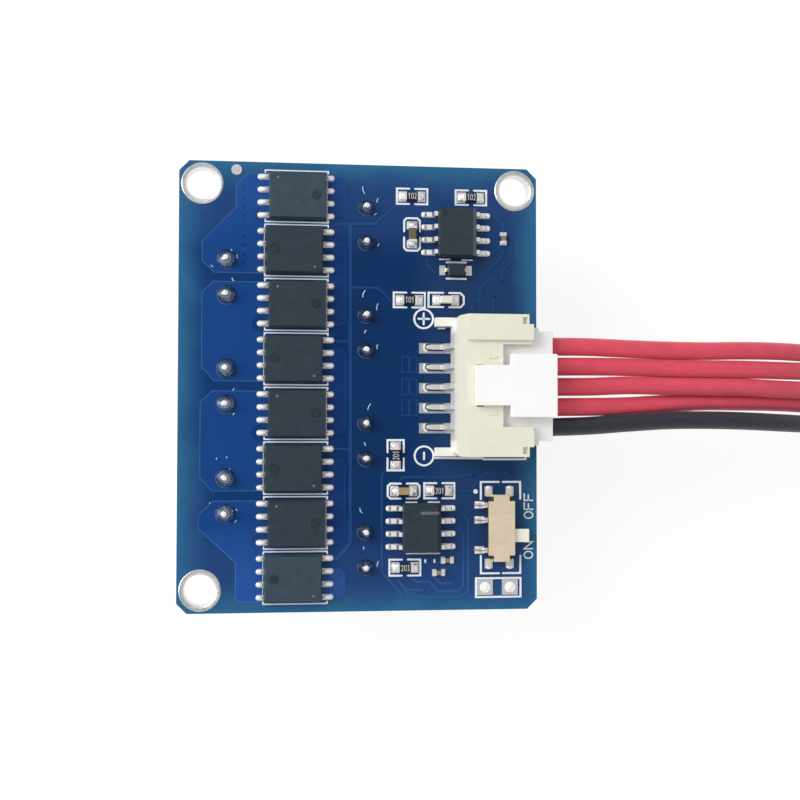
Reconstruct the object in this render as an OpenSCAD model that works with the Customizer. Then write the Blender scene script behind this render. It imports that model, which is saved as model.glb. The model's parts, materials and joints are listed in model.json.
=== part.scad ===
// Battery cell balancer module. Power chips and a control circuit sit on the face of a board,
// storage capacitors stand on its back, and a latched plug with five wires leaves one side.
// X runs towards the plug, Y along the row of power chips and Z up. The module stands on its
// capacitors, with the origin on the ground under the middle of the board.

/* [Board] */
// Size of the board along X
board_w = 35.8; // [32:0.1:50]
// Board left past the first and the last power chip's share of the row
end_margin = 0.69; // [0.4:0.01:4]
// Thickness of the board
board_t = 1.6; // [0.8:0.1:2.4]
// Length of the cut on each corner
corner_cut = 1; // [0.2:0.1:1.6]
// Thickness of a tinned pad
pad_t = 0.08; // [0.04:0.01:0.15]

/* [Mounting holes] */
// Diameter of a mounting hole
hole_d = 3.2; // [2.2:0.1:3.4]
// Distance from a hole's centre to both of its edges
hole_edge = 2.25; // [2.2:0.05:2.6]
// Width of the tinned ring round a hole
ring_w = 0.45; // [0.2:0.05:0.5]

/* [Storage capacitors] */
// Diameter of a can
can_d = 8; // [6.3:0.1:9]
// Height of a can
can_h = 11.5; // [7:0.5:20]
// Height of the rubber seal that stands out of a can
seal_out = 0.5; // [0.2:0.1:1]
// Distance between neighbours in a row of capacitors, which two power chips share
stage_pitch = 10.78; // [10.6:0.02:13]
// Distance between the two leads of a capacitor
can_lead_pitch = 3.5; // [2.5:0.1:4]
// Diameter of a capacitor lead
can_lead_d = 0.6; // [0.45:0.05:0.8]
// Distance from the board's left edge to the first row of capacitors
can_edge = 4.7; // [4.5:0.1:6]
// Distance from the board's right edge to the second row of capacitors
control_zone = 17.34; // [17.2:0.02:19]
// Diameter of a solder joint in the first row
joint_d_left = 1.9; // [1.4:0.05:2.4]
// Diameter of a solder joint in the second row
joint_d_right = 1.55; // [1.2:0.05:2.2]
// Height of a solder joint
joint_h = 0.9; // [0.5:0.1:1.4]

/* [Power chips] */
// Width of a power chip, across its leads
power_w = 5.75; // [5:0.05:6.2]
// Length of a power chip, along its leads
power_l = 4.7; // [4.5:0.05:5.1]
// Height of a power chip
power_h = 1; // [0.7:0.05:1.4]
// Distance that a pad reaches past a power chip
power_pad_out = 0.95; // [0.6:0.05:1.1]

/* [Control chips] */
// Width of a control chip's body, across its leads
control_w = 3.9; // [3.5:0.05:4.2]
// Length of a control chip's body
control_l = 4.9; // [4.6:0.05:5.4]
// Height of a control chip
control_h = 1.5; // [1.2:0.05:1.8]
// Width of a control chip over its leads
control_span = 6; // [5.6:0.05:6.4]

/* [Chip leads] */
// Distance between leads on the power and control chips
lead_pitch = 1.27; // [1:0.01:1.3]
// Width of a lead
lead_w = 0.42; // [0.3:0.02:0.5]
// Thickness of a lead
lead_t = 0.2; // [0.1:0.02:0.25]

/* [Chip resistors and ceramic capacitors] */
// Length of a chip resistor or ceramic capacitor
chip_l = 1.6; // [1.5:0.05:2]
// Width of a chip resistor or ceramic capacitor
chip_w = 0.8; // [0.7:0.05:1.1]
// Height of a chip resistor
resistor_h = 0.45; // [0.35:0.05:0.7]
// Height of a ceramic capacitor
ceramic_h = 0.75; // [0.5:0.05:1.1]
// Length of a small chip
small_l = 1; // [0.8:0.1:1.2]
// Width of a small chip
small_w = 0.5; // [0.4:0.05:0.6]
// Length of the metal cap on a chip's end
cap_l = 0.24; // [0.2:0.02:0.4]

/* [Connector] */
// Distance between the connector's pins
pin_pitch = 2; // [1.95:0.01:2.1]
// Width and height of a pin
pin_w = 0.5; // [0.4:0.02:0.6]
// Height of the pins' axes over the board
pin_z = 2.4; // [2.2:0.1:3]
// Depth of the header, from its rear wall to its mouth
header_d = 7.35; // [7:0.05:8]
// Width of the header past the first and the last pin
header_end = 2.9; // [2.7:0.05:3.2]
// Distance from the header's mouth to the board's edge
header_inset = 1.45; // [0.5:0.05:2]
// Thickness of the header's roof over the plug
roof_t = 0.7; // [0.3:0.05:0.8]
// Height of the rails beside the latch
rail_h = 0.4; // [0.2:0.05:0.8]
// Height of the plug's body
plug_h = 3.3; // [2.8:0.1:3.6]
// Width of the plug past the first and the last pin
plug_end = 1.35; // [1.2:0.05:1.5]
// Length of the plug outside the header
plug_out = 2.15; // [1.5:0.05:4]
// Width of the latch's press plate
latch_w = 6.1; // [4.6:0.1:7]
// Width of the latch's tongue
tongue_w = 3.9; // [3:0.1:4.2]
// Thickness of the latch
latch_t = 0.75; // [0.5:0.05:1.2]
// Clearance between the plug and the header
plug_gap = 0.1; // [0.05:0.01:0.15]

/* [Wires] */
// Diameter of a wire
wire_d = 1.8; // [1.2:0.05:1.85]
// Distance from the coil's centre to its middle turn
coil_r = 11; // [10:0.5:13]
// Thickness of the coil's tie
tie_t = 0.3; // [0.2:0.05:0.5]
// Width of the coil's tie, as an angle round the coil
tie_angle = 16; // [8:1:24]

/* [Switch] */
// Width of the switch, across its leads
switch_w = 2.64; // [2.5:0.02:3]
// Length of the switch, along its travel
switch_l = 6.6; // [6.2:0.05:7.2]
// Height of the switch
switch_h = 1.4; // [1.3:0.05:1.8]
// Thickness of the switch's sheet metal cover
sheet_t = 0.2; // [0.12:0.02:0.25]
// Travel of the switch's slider
travel = 1.5; // [1:0.1:1.8]
// Width of the knob, along its travel
knob_w = 1.3; // [1:0.05:1.5]
// Distance that the knob stands out of the cover
knob_out = 1.53; // [1:0.01:1.9]
// Running clearance round the slider
slide_gap = 0.1; // [0.06:0.01:0.12]

/* [Hidden] */
$fn = 48;
// Length by which a cutter runs past the solid that it cuts
over = 1;
// Thickness of the flat end of a drafted body
skin = 0.01;

// Heights of the layers, from the ground up
board_z = can_h + seal_out;
face_z = board_z + board_t;
seat_z = face_z + pad_t;

// Board outline and the shared rows
power_count = 8;
power_pitch = stage_pitch / 2;
board_h = power_count * power_pitch + 2 * end_margin;
left_row_x = -board_w / 2 + can_edge;
right_row_x = board_w / 2 - control_zone;
power_offset = -0.1;
power_x = (left_row_x + right_row_x) / 2 + power_offset;
hole_x = board_w / 2 - hole_edge;
hole_y = board_h / 2 - hole_edge;
hole_places = [[-hole_x, hole_y], [hole_x, hole_y], [-hole_x, -hole_y]];

// Capacitor places: three in the left row, four in the right row
can_places = concat(
    [for (i = [1 : -1 : -1]) [left_row_x, i * stage_pitch]],
    [for (i = [1.5 : -1 : -1.5]) [right_row_x, i * stage_pitch]]
);
left_can_count = 3;
can_lead_gap = 0.15;
joint_tip = 0.3;
can_edge_r = 0.6;
crimp_depth = 0.4;
crimp_from_mouth = 2;
mouth_wall = 0.7;
mouth_lip_h = 0.35;
mouth_lip_in = 0.25;
seal_in = 0.8;
seal_gap = 0.05;
// Solder cone, as shares of its width past the lead and of its height
joint_shape = [[1, 0.07], [0.88, 0.28], [0.6, 0.58], [0.33, 0.86], [0.06, 1]];
vent_w = 0.35;
vent_depth = 0.15;
vent_l = can_d * 0.55;

// Power chip details
power_shift = 0.16;
power_lead_out = 0.15;
power_lead_in = 0.6;
tab_w = power_w - 2.2;
tab_l = power_l - 0.7;
power_draft = 0.18;
pad_w = lead_w + 0.16;
mark_depth = 0.05;
mark_d = 0.5;
power_mark_in = [0.9, 0.65];
ejector_d = 1;
ejector_in = 1;

// Control chip details
control_stand = 0.1;
control_foot = 0.65;
control_draft = 0.15;
control_pad_out = 0.5;
control_pad_l = 1.5;
control_mark_in = 0.75;
control_bevel = 0.3;
knee_share = 0.6;

// Places of the control parts, as distances from the board's right edge and a chosen level
function from_right(d) = board_w / 2 - d;
function from_top(d) = board_h / 2 - d;
function from_bottom(d) = -board_h / 2 + d;
driver_place = [from_right(8.28), from_top(6.8)];
timer_place = [from_right(11.82), from_bottom(8.25)];
resistor_places = [
    [from_right(12.75), from_top(3.1), 0],
    [from_right(6.75), from_top(3.08), 0],
    [from_right(13), 8.7, 0],
    [from_right(14.36), -6.82, 90],
    [from_right(9.97), from_bottom(11.9), 0],
    [from_right(13.4), from_bottom(4.28), 0]
];
ceramic_places = [
    [from_right(12.73), from_top(6.95), 90],
    [from_right(13.54), from_bottom(11.88), 0]
];
small_places = [
    [from_right(3.42), from_top(7.16), 90],
    [from_right(9.13), from_bottom(4.96), 0],
    [from_right(10.01), from_bottom(3.74), 0]
];
led_place = [from_right(9.3), 8.76, 0];
diode_place = [from_right(8.3), 11.77, 0];

// Chip details
cap_t = 0.04;
chip_pad_out = 0.57;
chip_pad_side = 0.13;
small_h = 0.35;
small_cap_l = small_l / 4;
small_pad_out = 0.16;
small_pad_side = 0.1;
led_base_h = 0.3;
led_lens_h = 0.5;
led_cap_l = cap_l * 0.6;
led_lens_gap = 0.02;
led_lens_l = chip_l - 2 * (led_cap_l + led_lens_gap);
led_slope = 0.05;
diode_l = 1.7;
diode_w = 1.25;
diode_h = 0.95;
diode_stand = 0.1;
diode_lead_w = 0.35;
diode_lead_t = 0.12;
diode_span = 2.6;
diode_draft = 0.1;
diode_foot = 0.22;
diode_pad_in = 0.25;
diode_pad_out = 0.35;
diode_pad_w = 0.97;

// Connector levels and outlines; x values are along the board, z values are over its face
pin_count = 5;
pin_ys = [for (i = [0 : pin_count - 1]) ((pin_count - 1) / 2 - i) * pin_pitch];
pin_row = (pin_count - 1) * pin_pitch;
header_w = pin_row + 2 * header_end;
header_mouth = from_right(header_inset);
header_rear = header_mouth - header_d;
header_nose = 0.45;
header_nose_in = 0.95;
rear_wall = 1.5;
rear_step_z = 2.6;
rear_slope = 0.95;
rear_chamfer = 0.4;
plug_w = pin_row + 2 * plug_end;
plug_top = pin_z + plug_h / 2;
plug_bottom = pin_z - plug_h / 2;
roof_z = plug_top + plug_gap + roof_t;
header_h = roof_z + rail_h;
window_back = 4.4;
window_w = pin_row;
ledge_w = 0.4;
anchor_t = 0.45;
anchor_w = 0.65;
anchor_back = 1.1;
anchor_low = 0.3;
anchor_shift = 0.1;
arm_l = 1.65;
arm_w = 0.86;
arm_h = 1.2;
rib_l = 0.9;
rib_w = 0.2;
rib_h = 0.1;
rib_back = 0.6;
rib_side = 0.8;
foot_back = 2.5;
foot_l = 2;
foot_point_l = 0.45;
foot_point_w = 0.15;
riser_l = 0.3;
pin_reach = 3.1;
pin_taper = 0.3;
pin_pad_l = 3.2;
pin_pad_w = 1.03;
pin_pad_side = -0.11;

// Plug details
plug_seat = 0.25;
plug_front = header_rear + rear_wall + plug_seat;
plug_back = header_mouth + plug_out;
contact_w = 1.3;
contact_h = 1.6;
contact_gap = 0.05;
contact_front = 0.8;
socket_gap = 0.05;
tongue_back = 1.6;
tongue_end = header_rear + tongue_back;
plate_step = 0.65;
plate_front = header_rear + window_back + plate_step;
plate_over = 0.05;
plate_back = plug_back + plate_over;
web_l = 1.2;
web_root = 0.3;
hook_l = 0.5;
hook_in = 0.3;
hook_x = tongue_end + hook_in;
ridge_l = 0.8;
ridge_out = 0.45;
ridge_h = 1.6;

// Switch details, around its own centre on the seat plane
switch_place = [from_right(3.87), from_bottom(8.2)];
switch_lift = 0.1;
switch_fit = 0.03;
notch_w = 0.54;
notch_l = 0.62;
foot_w = 0.46;
foot_x = switch_w / 2 - 0.25;
foot_t = 0.2;
foot_out = 0.6;
base_floor = 0.45;
base_wall = 0.3;
base_side = 0.06;
terminal_w = 0.5;
terminal_t = 0.12;
terminal_out = 1;
terminal_in = 0.3;
terminal_bend = 0.2;
terminal_side = 0.1;
terminal_lean = 0.15;
terminal_end = 1.05;
terminal_pitch = 1.5;
terminal_y = switch_l / 2 - terminal_end;
terminal_ys = [terminal_y, terminal_y - terminal_pitch, -terminal_y];
terminal_pad_w = 0.75;
foot_pad = [0.8, 0.95];
foot_pad_share = 0.55;
contact_lift = 0.05;
contact_t = 0.1;
contact_strip_w = 0.4;
peg_d = 0.8;
peg_l = 0.8;
peg_gap = 0.05;
peg_step = 1;
cover_inner_z = switch_h - sheet_t;
carrier_z = base_floor + contact_lift + contact_t;
carrier_h = cover_inner_z - slide_gap - carrier_z;
inner_w = switch_w - 2 * sheet_t - 2 * switch_fit;
inner_l = switch_l - 2 * sheet_t - 2 * switch_fit;
pocket_end = 1.175;
pocket_w = inner_w - 2 * base_wall;
pocket_l = switch_l - 2 * pocket_end;
carrier_l = pocket_l - travel - 2 * slide_gap;
slot_l = knob_w + travel + 2 * slide_gap;
knob_z = carrier_z + slide_gap;
knob_h = carrier_h - 2 * slide_gap;
on_y = -travel / 2;

// Spare header holes and the round test pad
spare_places = [[from_right(5.33), from_bottom(2.22)], [from_right(2.79), from_bottom(2.22)]];
spare_hole_d = 1.15;
spare_pad = [1.62, 1.55];
dot_place = [-board_w / 2 + 5.6, from_top(0.83)];
dot_d = 1.05;

// Wire routes: distance from the plug, place across, and share of the plug's height over the ground
exit_z = face_z + pin_z;
ground_z = tie_t + wire_d / 2;
lay_pitch = 1.85;
wire_runs = [0, 4, 8, 12, 16, 20, 24, 28, 32, 36, 40, 44, 46];
wire_falls = [1, 1, 1, 1, 1, 0.99, 0.95, 0.85, 0.66, 0.4, 0.14, 0, 0];
wire_sides = [
    [4, 4, 3.9, 3.8, 3.75, 3.7, 3.7, 3.7, 3.7, 3.7, 3.7, 3.7, 3.7],
    [2, 2, 1.95, 1.9, 1.85, 1.8, 1.75, 1.8, 1.85, 1.85, 1.85, 1.85, 1.85],
    [0, 0, 0.05, 0, -0.05, -0.1, -0.2, -0.15, 0, 0, 0, 0, 0],
    [-2, -2, -1.75, -1.55, -1.35, -1.3, -1.35, -1.5, -1.75, -1.85, -1.85, -1.85, -1.85],
    [-4, -4, -3.6, -3.4, -3.35, -3.4, -3.55, -3.65, -3.7, -3.7, -3.7, -3.7, -3.7]
];
// Extra fall of the fourth wire, which dips under the third
dip_wire = 3;
wire_dips = [0, 0, 0.65, 1.2, 1.4, 1.55, 1.6, 1.6, 1.4, 0.85, 0.2, 0, 0];
tube_sides = 8;

// Coil of the wires' far ends: five side by side, two layers high, with its straight lead-in
lead_in_x = plug_back + wire_runs[len(wire_runs) - 1];
coil_half = (pin_count - 1) / 2 * lay_pitch + wire_d / 2;
coil_layers = 2;
coil_y = -coil_r;
coil_out = coil_r + coil_half;
coil_x = lead_in_x + sqrt(pow(coil_out, 2) - pow(coil_r - coil_half, 2));
tie_gap = 0.05;

// Block that is centred on X and Y and stands on z
module block(size, z = 0) {
    translate([-size.x / 2, -size.y / 2, z]) cube(size);
}

// Block between two corners
module span(low, high) {
    translate(low) cube(high - low);
}

// Profile in X and Z, extruded to a width centred on Y
module side_profile(points, width) {
    translate([0, width / 2, 0]) rotate([90, 0, 0]) linear_extrude(width) polygon(points);
}

// Moulded body with a straight band between two drafted halves
module moulded_body(w, l, low, band_low, band_high, high, draft) {
    hull() {
        block([w - 2 * draft, l - 2 * draft, skin], low);
        block([w, l, band_high - band_low], band_low);
        block([w - 2 * draft, l - 2 * draft, skin], high - skin);
    }
}

// Children on the seat plane at a place, turned by its third value where it has one
module on_face(place, z = seat_z) {
    translate([place.x, place.y, z]) rotate(len(place) > 2 ? place.z : 0) children();
}

// Outline of the board with its cut corners
module board_outline() {
    x = board_w / 2;
    y = board_h / 2;
    c = corner_cut;
    polygon([
        [-x + c, -y], [x - c, -y], [x, -y + c], [x, y - c],
        [x - c, y], [-x + c, y], [-x, y - c], [-x, -y + c]
    ]);
}

lead_places = [for (p = can_places) for (s = [1, -1]) [p.x, p.y + s * can_lead_pitch / 2]];
peg_places = [for (s = [1, -1]) [switch_place.x, switch_place.y + s * peg_step]];

module drill(places, d) {
    for (p = places) translate([p.x, p.y, board_z - over]) cylinder(d = d, h = board_t + 2 * over);
}

module circuit_board() color("#1b4f9c") {
    difference() {
        translate([0, 0, board_z]) linear_extrude(board_t) board_outline();
        drill(hole_places, hole_d);
        drill(lead_places, can_lead_d + 2 * can_lead_gap);
        drill(spare_places, spare_hole_d);
        drill(peg_places, peg_d + 2 * peg_gap);
    }
}

// Tinned ring on both faces of the board at each mounting hole
module hole_rings() color("silver") {
    for (p = hole_places, z = [board_z - pad_t, face_z]) {
        translate([p.x, p.y, z]) difference() {
            cylinder(d = hole_d + 2 * ring_w, h = pad_t);
            translate([0, 0, -over]) cylinder(d = hole_d, h = pad_t + 2 * over);
        }
    }
}

function power_place(i) =
    [power_x, ((power_count + 1) / 2 - i) * power_pitch, i % 2 == 0 ? 180 : 0];
lead_steps = [for (i = [-1.5 : 1 : 1.5]) i * lead_pitch];

// Lead frame under a power chip: four short leads, and a tab with four fingers; under lengthens it down
module power_frame(under = 0) {
    half = power_w / 2;
    edge = lead_w / 2;
    for (y = lead_steps) {
        span([-half - power_lead_out, y - edge, -under], [-half + power_lead_in, y + edge, lead_t]);
        span([tab_w / 2, y - edge, -under], [half + power_lead_out, y + edge, lead_t]);
    }
    block([tab_w, tab_l, lead_t + under], -under);
}

// Children at a power chip's own centre, which lies off its place towards the tab's fingers
module on_power_place(i) {
    on_face(power_place(i)) translate([power_shift, 0, 0]) children();
}

module power_chip(i) color("#26282c") on_power_place(i) {
    difference() {
        hull() {
            block([power_w, power_l, lead_t], 0);
            block([power_w - 2 * power_draft, power_l - 2 * power_draft, skin], power_h - skin);
        }
        power_frame(over);
        translate([power_mark_in.x - power_w / 2, power_l / 2 - power_mark_in.y, power_h - mark_depth])
            cylinder(d = mark_d, h = over);
        translate([power_w / 2 - ejector_in, 0, power_h - mark_depth]) cylinder(d = ejector_d, h = over);
    }
}

module power_chip_leads() color("silver") {
    for (i = [1 : power_count]) on_power_place(i) power_frame();
}

// Gull-wing leads along both sides of a control chip
control_mid = (control_stand + control_h) / 2;

module wing_lead(body_half, reach, mid, foot, t, w) {
    knee = body_half + (reach - body_half - foot) * knee_share;
    side_profile([
        [body_half, mid - t / 2], [knee - t / 2, mid - t / 2], [reach - foot - t / 2, 0], [reach, 0],
        [reach, t], [reach - foot + t / 2, t], [knee + t / 2, mid + t / 2], [body_half, mid + t / 2]
    ], w);
}

module control_leads(place) color("silver") on_face(place) {
    for (turn = [0, 180], y = lead_steps) {
        rotate(turn) translate([0, y, 0])
            wing_lead(control_w / 2, control_span / 2, control_mid, control_foot, lead_t, lead_w);
    }
}

module control_body(place) color("#2a2c30") on_face(place) {
    difference() {
        moulded_body(
            control_w, control_l, control_stand, control_mid - lead_t / 2, control_mid + lead_t / 2,
            control_h, control_draft
        );
        translate([control_mark_in - control_w / 2, control_l / 2 - control_mark_in, control_h - mark_depth])
            cylinder(d = mark_d, h = over);
        edge = control_w / 2 - control_draft - control_bevel;
        side_profile([
            [edge, control_h], [edge + over, control_h - over],
            [edge + over, control_h + over], [edge, control_h + over]
        ], control_l + over);
    }
}

// Chip body between its wrapped metal caps
module chip_body(l, w, h) {
    block([l - 2 * cap_t, w - 2 * cap_t, h - 2 * cap_t], cap_t);
}

module chip_caps(l, w, h, cap = cap_l) {
    for (s = [-1, 1]) {
        difference() {
            translate([s * (l - cap) / 2, 0, 0]) block([cap, w, h]);
            chip_body(l, w, h);
        }
    }
}

// Chip resistor: a ceramic slab with a raised glass coat between its caps
module resistor(i) color("#202124") on_face(resistor_places[i - 1]) {
    chip_body(chip_l, chip_w, resistor_h);
    block([chip_l - 2 * cap_l, chip_w - 2 * cap_t, cap_t], resistor_h - cap_t);
}

module ceramic_capacitor(i) color("#9a7b4f") on_face(ceramic_places[i - 1]) {
    chip_body(chip_l, chip_w, ceramic_h);
}

module small_chips() color("#3a3634") {
    for (p = small_places) on_face(p) chip_body(small_l, small_w, small_h);
}

module chip_end_caps() color("silver") {
    for (p = resistor_places) on_face(p) chip_caps(chip_l, chip_w, resistor_h);
    for (p = ceramic_places) on_face(p) chip_caps(chip_l, chip_w, ceramic_h);
    for (p = small_places) on_face(p) chip_caps(small_l, small_w, small_h, small_cap_l);
    on_face(led_place) chip_caps(chip_l, chip_w, led_base_h + 2 * cap_t, led_cap_l);
}

module led_base() color("ivory") on_face(led_place) {
    chip_body(chip_l, chip_w, led_base_h + 2 * cap_t);
}

// Clear lens, drafted on its two ends
module led_lens() color("#f2ecc8") on_face(led_place) {
    low = led_base_h + cap_t;
    half = led_lens_l / 2;
    high = low + led_lens_h;
    side_profile([
        [-half, low], [half, low], [half - led_slope, high], [led_slope - half, high]
    ], chip_w - 2 * cap_t);
}

diode_mid = (diode_stand + diode_h) / 2;

module diode() color("#2a2c30") on_face(diode_place) {
    moulded_body(
        diode_l, diode_w, diode_stand, diode_mid - diode_lead_t / 2, diode_mid + diode_lead_t / 2,
        diode_h, diode_draft
    );
}

module diode_leads() color("silver") on_face(diode_place) {
    for (turn = [0, 180]) rotate(turn)
        wing_lead(diode_l / 2, diode_span / 2, diode_mid, diode_foot, diode_lead_t, diode_lead_w);
}

// Pads under the parts on the board's face
module pad(w, l) {
    block([w, l, pad_t], -pad_t);
}

module lead_pads(inner, outer, steps, w) {
    for (s = [-1, 1], y = steps) translate([s * (inner + outer) / 2, y, 0]) pad(outer - inner, w);
}

// Lead pads with rounded outer ends
module round_pads(inner, outer, steps, w) {
    lead_pads(inner, outer - w / 2, steps, w);
    for (s = [-1, 1], y = steps) translate([s * (outer - w / 2), y, -pad_t]) cylinder(d = w, h = pad_t);
}

module solder_pads() color("#c9ccd0") {
    power_pad_end = power_w / 2 + power_pad_out;
    for (i = [1 : power_count]) {
        on_face(power_place(i))
            round_pads(power_w / 2 - power_lead_in, power_pad_end, lead_steps, pad_w);
        on_power_place(i) pad(tab_w, tab_l);
    }
    control_pad_end = control_span / 2 + control_pad_out;
    for (p = [driver_place, timer_place]) on_face(p)
        round_pads(control_pad_end - control_pad_l, control_pad_end, lead_steps, pad_w);
    for (p = concat(resistor_places, ceramic_places, [led_place])) on_face(p)
        lead_pads(chip_l / 2 - cap_l, chip_l / 2 + chip_pad_out, [0], chip_w + 2 * chip_pad_side);
    small_pad_w = small_w + 2 * small_pad_side;
    for (p = small_places) on_face(p)
        lead_pads(small_l / 2 - small_cap_l, small_l / 2 + small_pad_out, [0], small_pad_w);
    on_face(diode_place)
        lead_pads(diode_span / 2 - diode_pad_in, diode_span / 2 + diode_pad_out, [0], diode_pad_w);
    for (y = pin_ys) translate([header_rear - pin_pad_l / 2, y + pin_pad_side, seat_z])
        pad(pin_pad_l, pin_pad_w);
    for (s = [-1, 1]) translate([anchor_x + anchor_t / 2, s * anchor_y, seat_z]) pad(anchor_t, anchor_w);
    on_face(switch_place) switch_pads();
    for (p = spare_places) on_face(p) difference() {
        pad(spare_pad.x, spare_pad.y);
        translate([0, 0, -over]) cylinder(d = spare_hole_d, h = 2 * over);
    }
    on_face(dot_place, face_z) cylinder(d = dot_d, h = pad_t);
}

anchor_x = header_mouth - anchor_back;
anchor_y = (plug_w / 2 + plug_gap + header_w / 2) / 2 + anchor_shift;

// Slot in a header wall for an anchor plate, or the plate itself
module anchor_plates(low, high) {
    for (s = [-1, 1]) translate([anchor_x + anchor_t / 2, s * anchor_y, 0])
        block([anchor_t, anchor_w, high - low], low);
}

// Header: a moulded box with a sloped rear shoulder, a sunk roof, and a window over the plug's latch
module header_housing() color("#e6e0cc") translate([0, 0, face_z]) {
    half = header_w / 2;
    body_front = header_mouth - header_nose;
    difference() {
        union() {
            intersection() {
                side_profile([
                    [header_rear, 0], [header_rear, rear_step_z], [header_rear + rear_slope, header_h],
                    [body_front, header_h], [body_front, 0]
                ], header_w);
                linear_extrude(header_h) polygon([
                    [header_rear, rear_chamfer - half], [header_rear + rear_chamfer, -half],
                    [body_front, -half], [body_front, half],
                    [header_rear + rear_chamfer, half], [header_rear, half - rear_chamfer]
                ]);
            }
            nose_half = half - header_nose_in;
            span([body_front - over, -nose_half, 0], [header_mouth, nose_half, header_h]);
            for (s = [-1, 1]) translate([header_rear + (arm_w - arm_l) / 2, s * (half - arm_w / 2), 0])
                block([arm_l + arm_w, arm_w, arm_h]);
        }
        cavity_half = plug_w / 2 + plug_gap;
        span(
            [header_rear + rear_wall, -cavity_half, plug_bottom - plug_gap],
            [header_mouth + over, cavity_half, plug_top + plug_gap]
        );
        recess_half = window_w / 2 + ledge_w;
        span(
            [header_rear - over, -recess_half, roof_z],
            [header_mouth + over, recess_half, header_h + over]
        );
        span(
            [header_rear + window_back, -window_w / 2, pin_z],
            [header_mouth + over, window_w / 2, header_h + over]
        );
        hook_half = tongue_w / 2 + plug_gap;
        span(
            [hook_x - plug_gap, -hook_half, pin_z],
            [hook_x + hook_l + plug_gap, hook_half, header_h]
        );
        for (y = pin_ys) translate([header_rear + rear_wall / 2, y, pin_z])
            block([rear_wall + 2 * over, pin_w, pin_w], -pin_w / 2);
        anchor_plates(-over, header_h + over);
    }
    rib_x = header_rear + window_back - rib_back - rib_l / 2;
    for (s = [-1, 1]) translate([rib_x, s * (tongue_w / 2 + rib_side), roof_z]) block([rib_l, rib_w, rib_h]);
}

// Pins: a foot on the pad, a rising leg, and a square post through the rear wall into the plug
module header_pins() color("#d8d3c4") translate([0, 0, seat_z]) {
    axis = pin_z - pad_t;
    heel = header_rear - foot_back;
    bend = heel + foot_l;
    top = bend + riser_l;
    tip = header_rear + rear_wall + pin_reach;
    half = pin_w / 2;
    rise = pin_w * 0.45;
    for (y = pin_ys) translate([0, y, 0]) intersection() {
        side_profile([
            [heel, 0], [bend, 0], [top, axis - half], [tip - pin_taper, axis - half],
            [tip, axis - half / 2], [tip, axis + half / 2],
            [tip - pin_taper, axis + half], [top - rise, axis + half], [bend - rise, pin_w], [heel, pin_w]
        ], pin_w);
        linear_extrude(header_h) polygon([
            [heel, -foot_point_w / 2], [heel + foot_point_l, -half], [tip + over, -half],
            [tip + over, half], [heel + foot_point_l, half], [heel, foot_point_w / 2]
        ]);
    }
}

module header_anchors() color("silver") translate([0, 0, face_z]) {
    anchor_plates(pad_t, header_h - anchor_low);
}

// Plug body with its contact cavities, the latch over it and the ridges at its rear corners
module plug_housing() color("#f4f4f2") translate([0, 0, face_z]) {
    difference() {
        span([plug_front, -plug_w / 2, plug_bottom], [plug_back, plug_w / 2, plug_top]);
        for (y = pin_ys) translate([0, y, pin_z]) {
            hole_w = contact_w / 2 + contact_gap;
            hole_h = contact_h / 2 + contact_gap;
            span([plug_front + contact_front, -hole_w, -hole_h], [plug_back + over, hole_w, hole_h]);
            mouth = pin_w / 2 + socket_gap;
            span([plug_front - over, -mouth, -mouth], [plug_front + contact_front + over, mouth, mouth]);
        }
    }
    for (s = [-1, 1]) translate([plug_back - 2 * ridge_l, s * plug_w / 2, pin_z])
        block([ridge_l, 2 * ridge_out, ridge_h], -ridge_h / 2);
    latch_z = roof_z + plug_gap;
    latch_top = latch_z + latch_t;
    tongue = tongue_w / 2;
    plate = latch_w / 2;
    translate([0, 0, latch_z]) linear_extrude(latch_t) polygon([
        [tongue_end, -tongue], [plate_front, -tongue], [plate_front, -plate], [plate_back, -plate],
        [plate_back, plate], [plate_front, plate], [plate_front, tongue], [tongue_end, tongue]
    ]);
    span([plate_front, -tongue, plug_top - web_root], [plate_front + web_l, tongue, latch_top]);
    span([hook_x, -tongue, plug_top + plug_gap], [hook_x + hook_l, tongue, latch_top]);
}

// Crimped contacts: a box with a square socket for its pin, flush with the plug's back
module plug_contacts() color("#cfc7ae") translate([0, 0, face_z + pin_z]) {
    socket = pin_w / 2 + socket_gap;
    contact_x = plug_front + contact_front;
    for (y = pin_ys) translate([0, y, 0]) difference() {
        span([contact_x, -contact_w / 2, -contact_h / 2], [plug_back, contact_w / 2, contact_h / 2]);
        span(
            [plug_front - over, -socket, -socket],
            [header_rear + rear_wall + pin_reach + plug_gap, socket, socket]
        );
    }
}

// Points of a wire's route from the plug to the coil
function wire_points(k) = [
    for (i = [0 : len(wire_runs) - 1]) [
        plug_back + wire_runs[i],
        wire_sides[k][i] * (i < 2 ? pin_pitch / 2 : 1),
        ground_z + wire_falls[i] * (exit_z - ground_z) - (k == dip_wire ? wire_dips[i] : 0)
    ]
];

function direction(p, i) =
    let (d = p[min(i + 1, len(p) - 1)] - p[max(i - 1, 0)]) d / norm(d);

// Ring of points square to the path at point i
function tube_ring(p, i, r) =
    let (
        t = direction(p, i),
        across = cross([0, 0, 1], t),
        s = across / norm(across),
        n = cross(t, s)
    ) [
        for (j = [0 : tube_sides - 1])
            let (a = (j + 0.5) * 360 / tube_sides) p[i] + r * (cos(a) * s + sin(a) * n)
    ];

// Round tube along a path, closed at both ends
module tube(path, d) {
    n = tube_sides;
    last = len(path) - 1;
    points = [for (i = [0 : last]) each tube_ring(path, i, d / 2)];
    sides = [
        for (i = [0 : last - 1], j = [0 : n - 1])
            let (a = i * n + j, b = i * n + (j + 1) % n)
                each [[a, a + n, b], [b, a + n, b + n]]
    ];
    ends = [[for (j = [0 : n - 1]) j], [for (j = [n - 1 : -1 : 0]) last * n + j]];
    polyhedron(points, concat(sides, ends));
}

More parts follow.
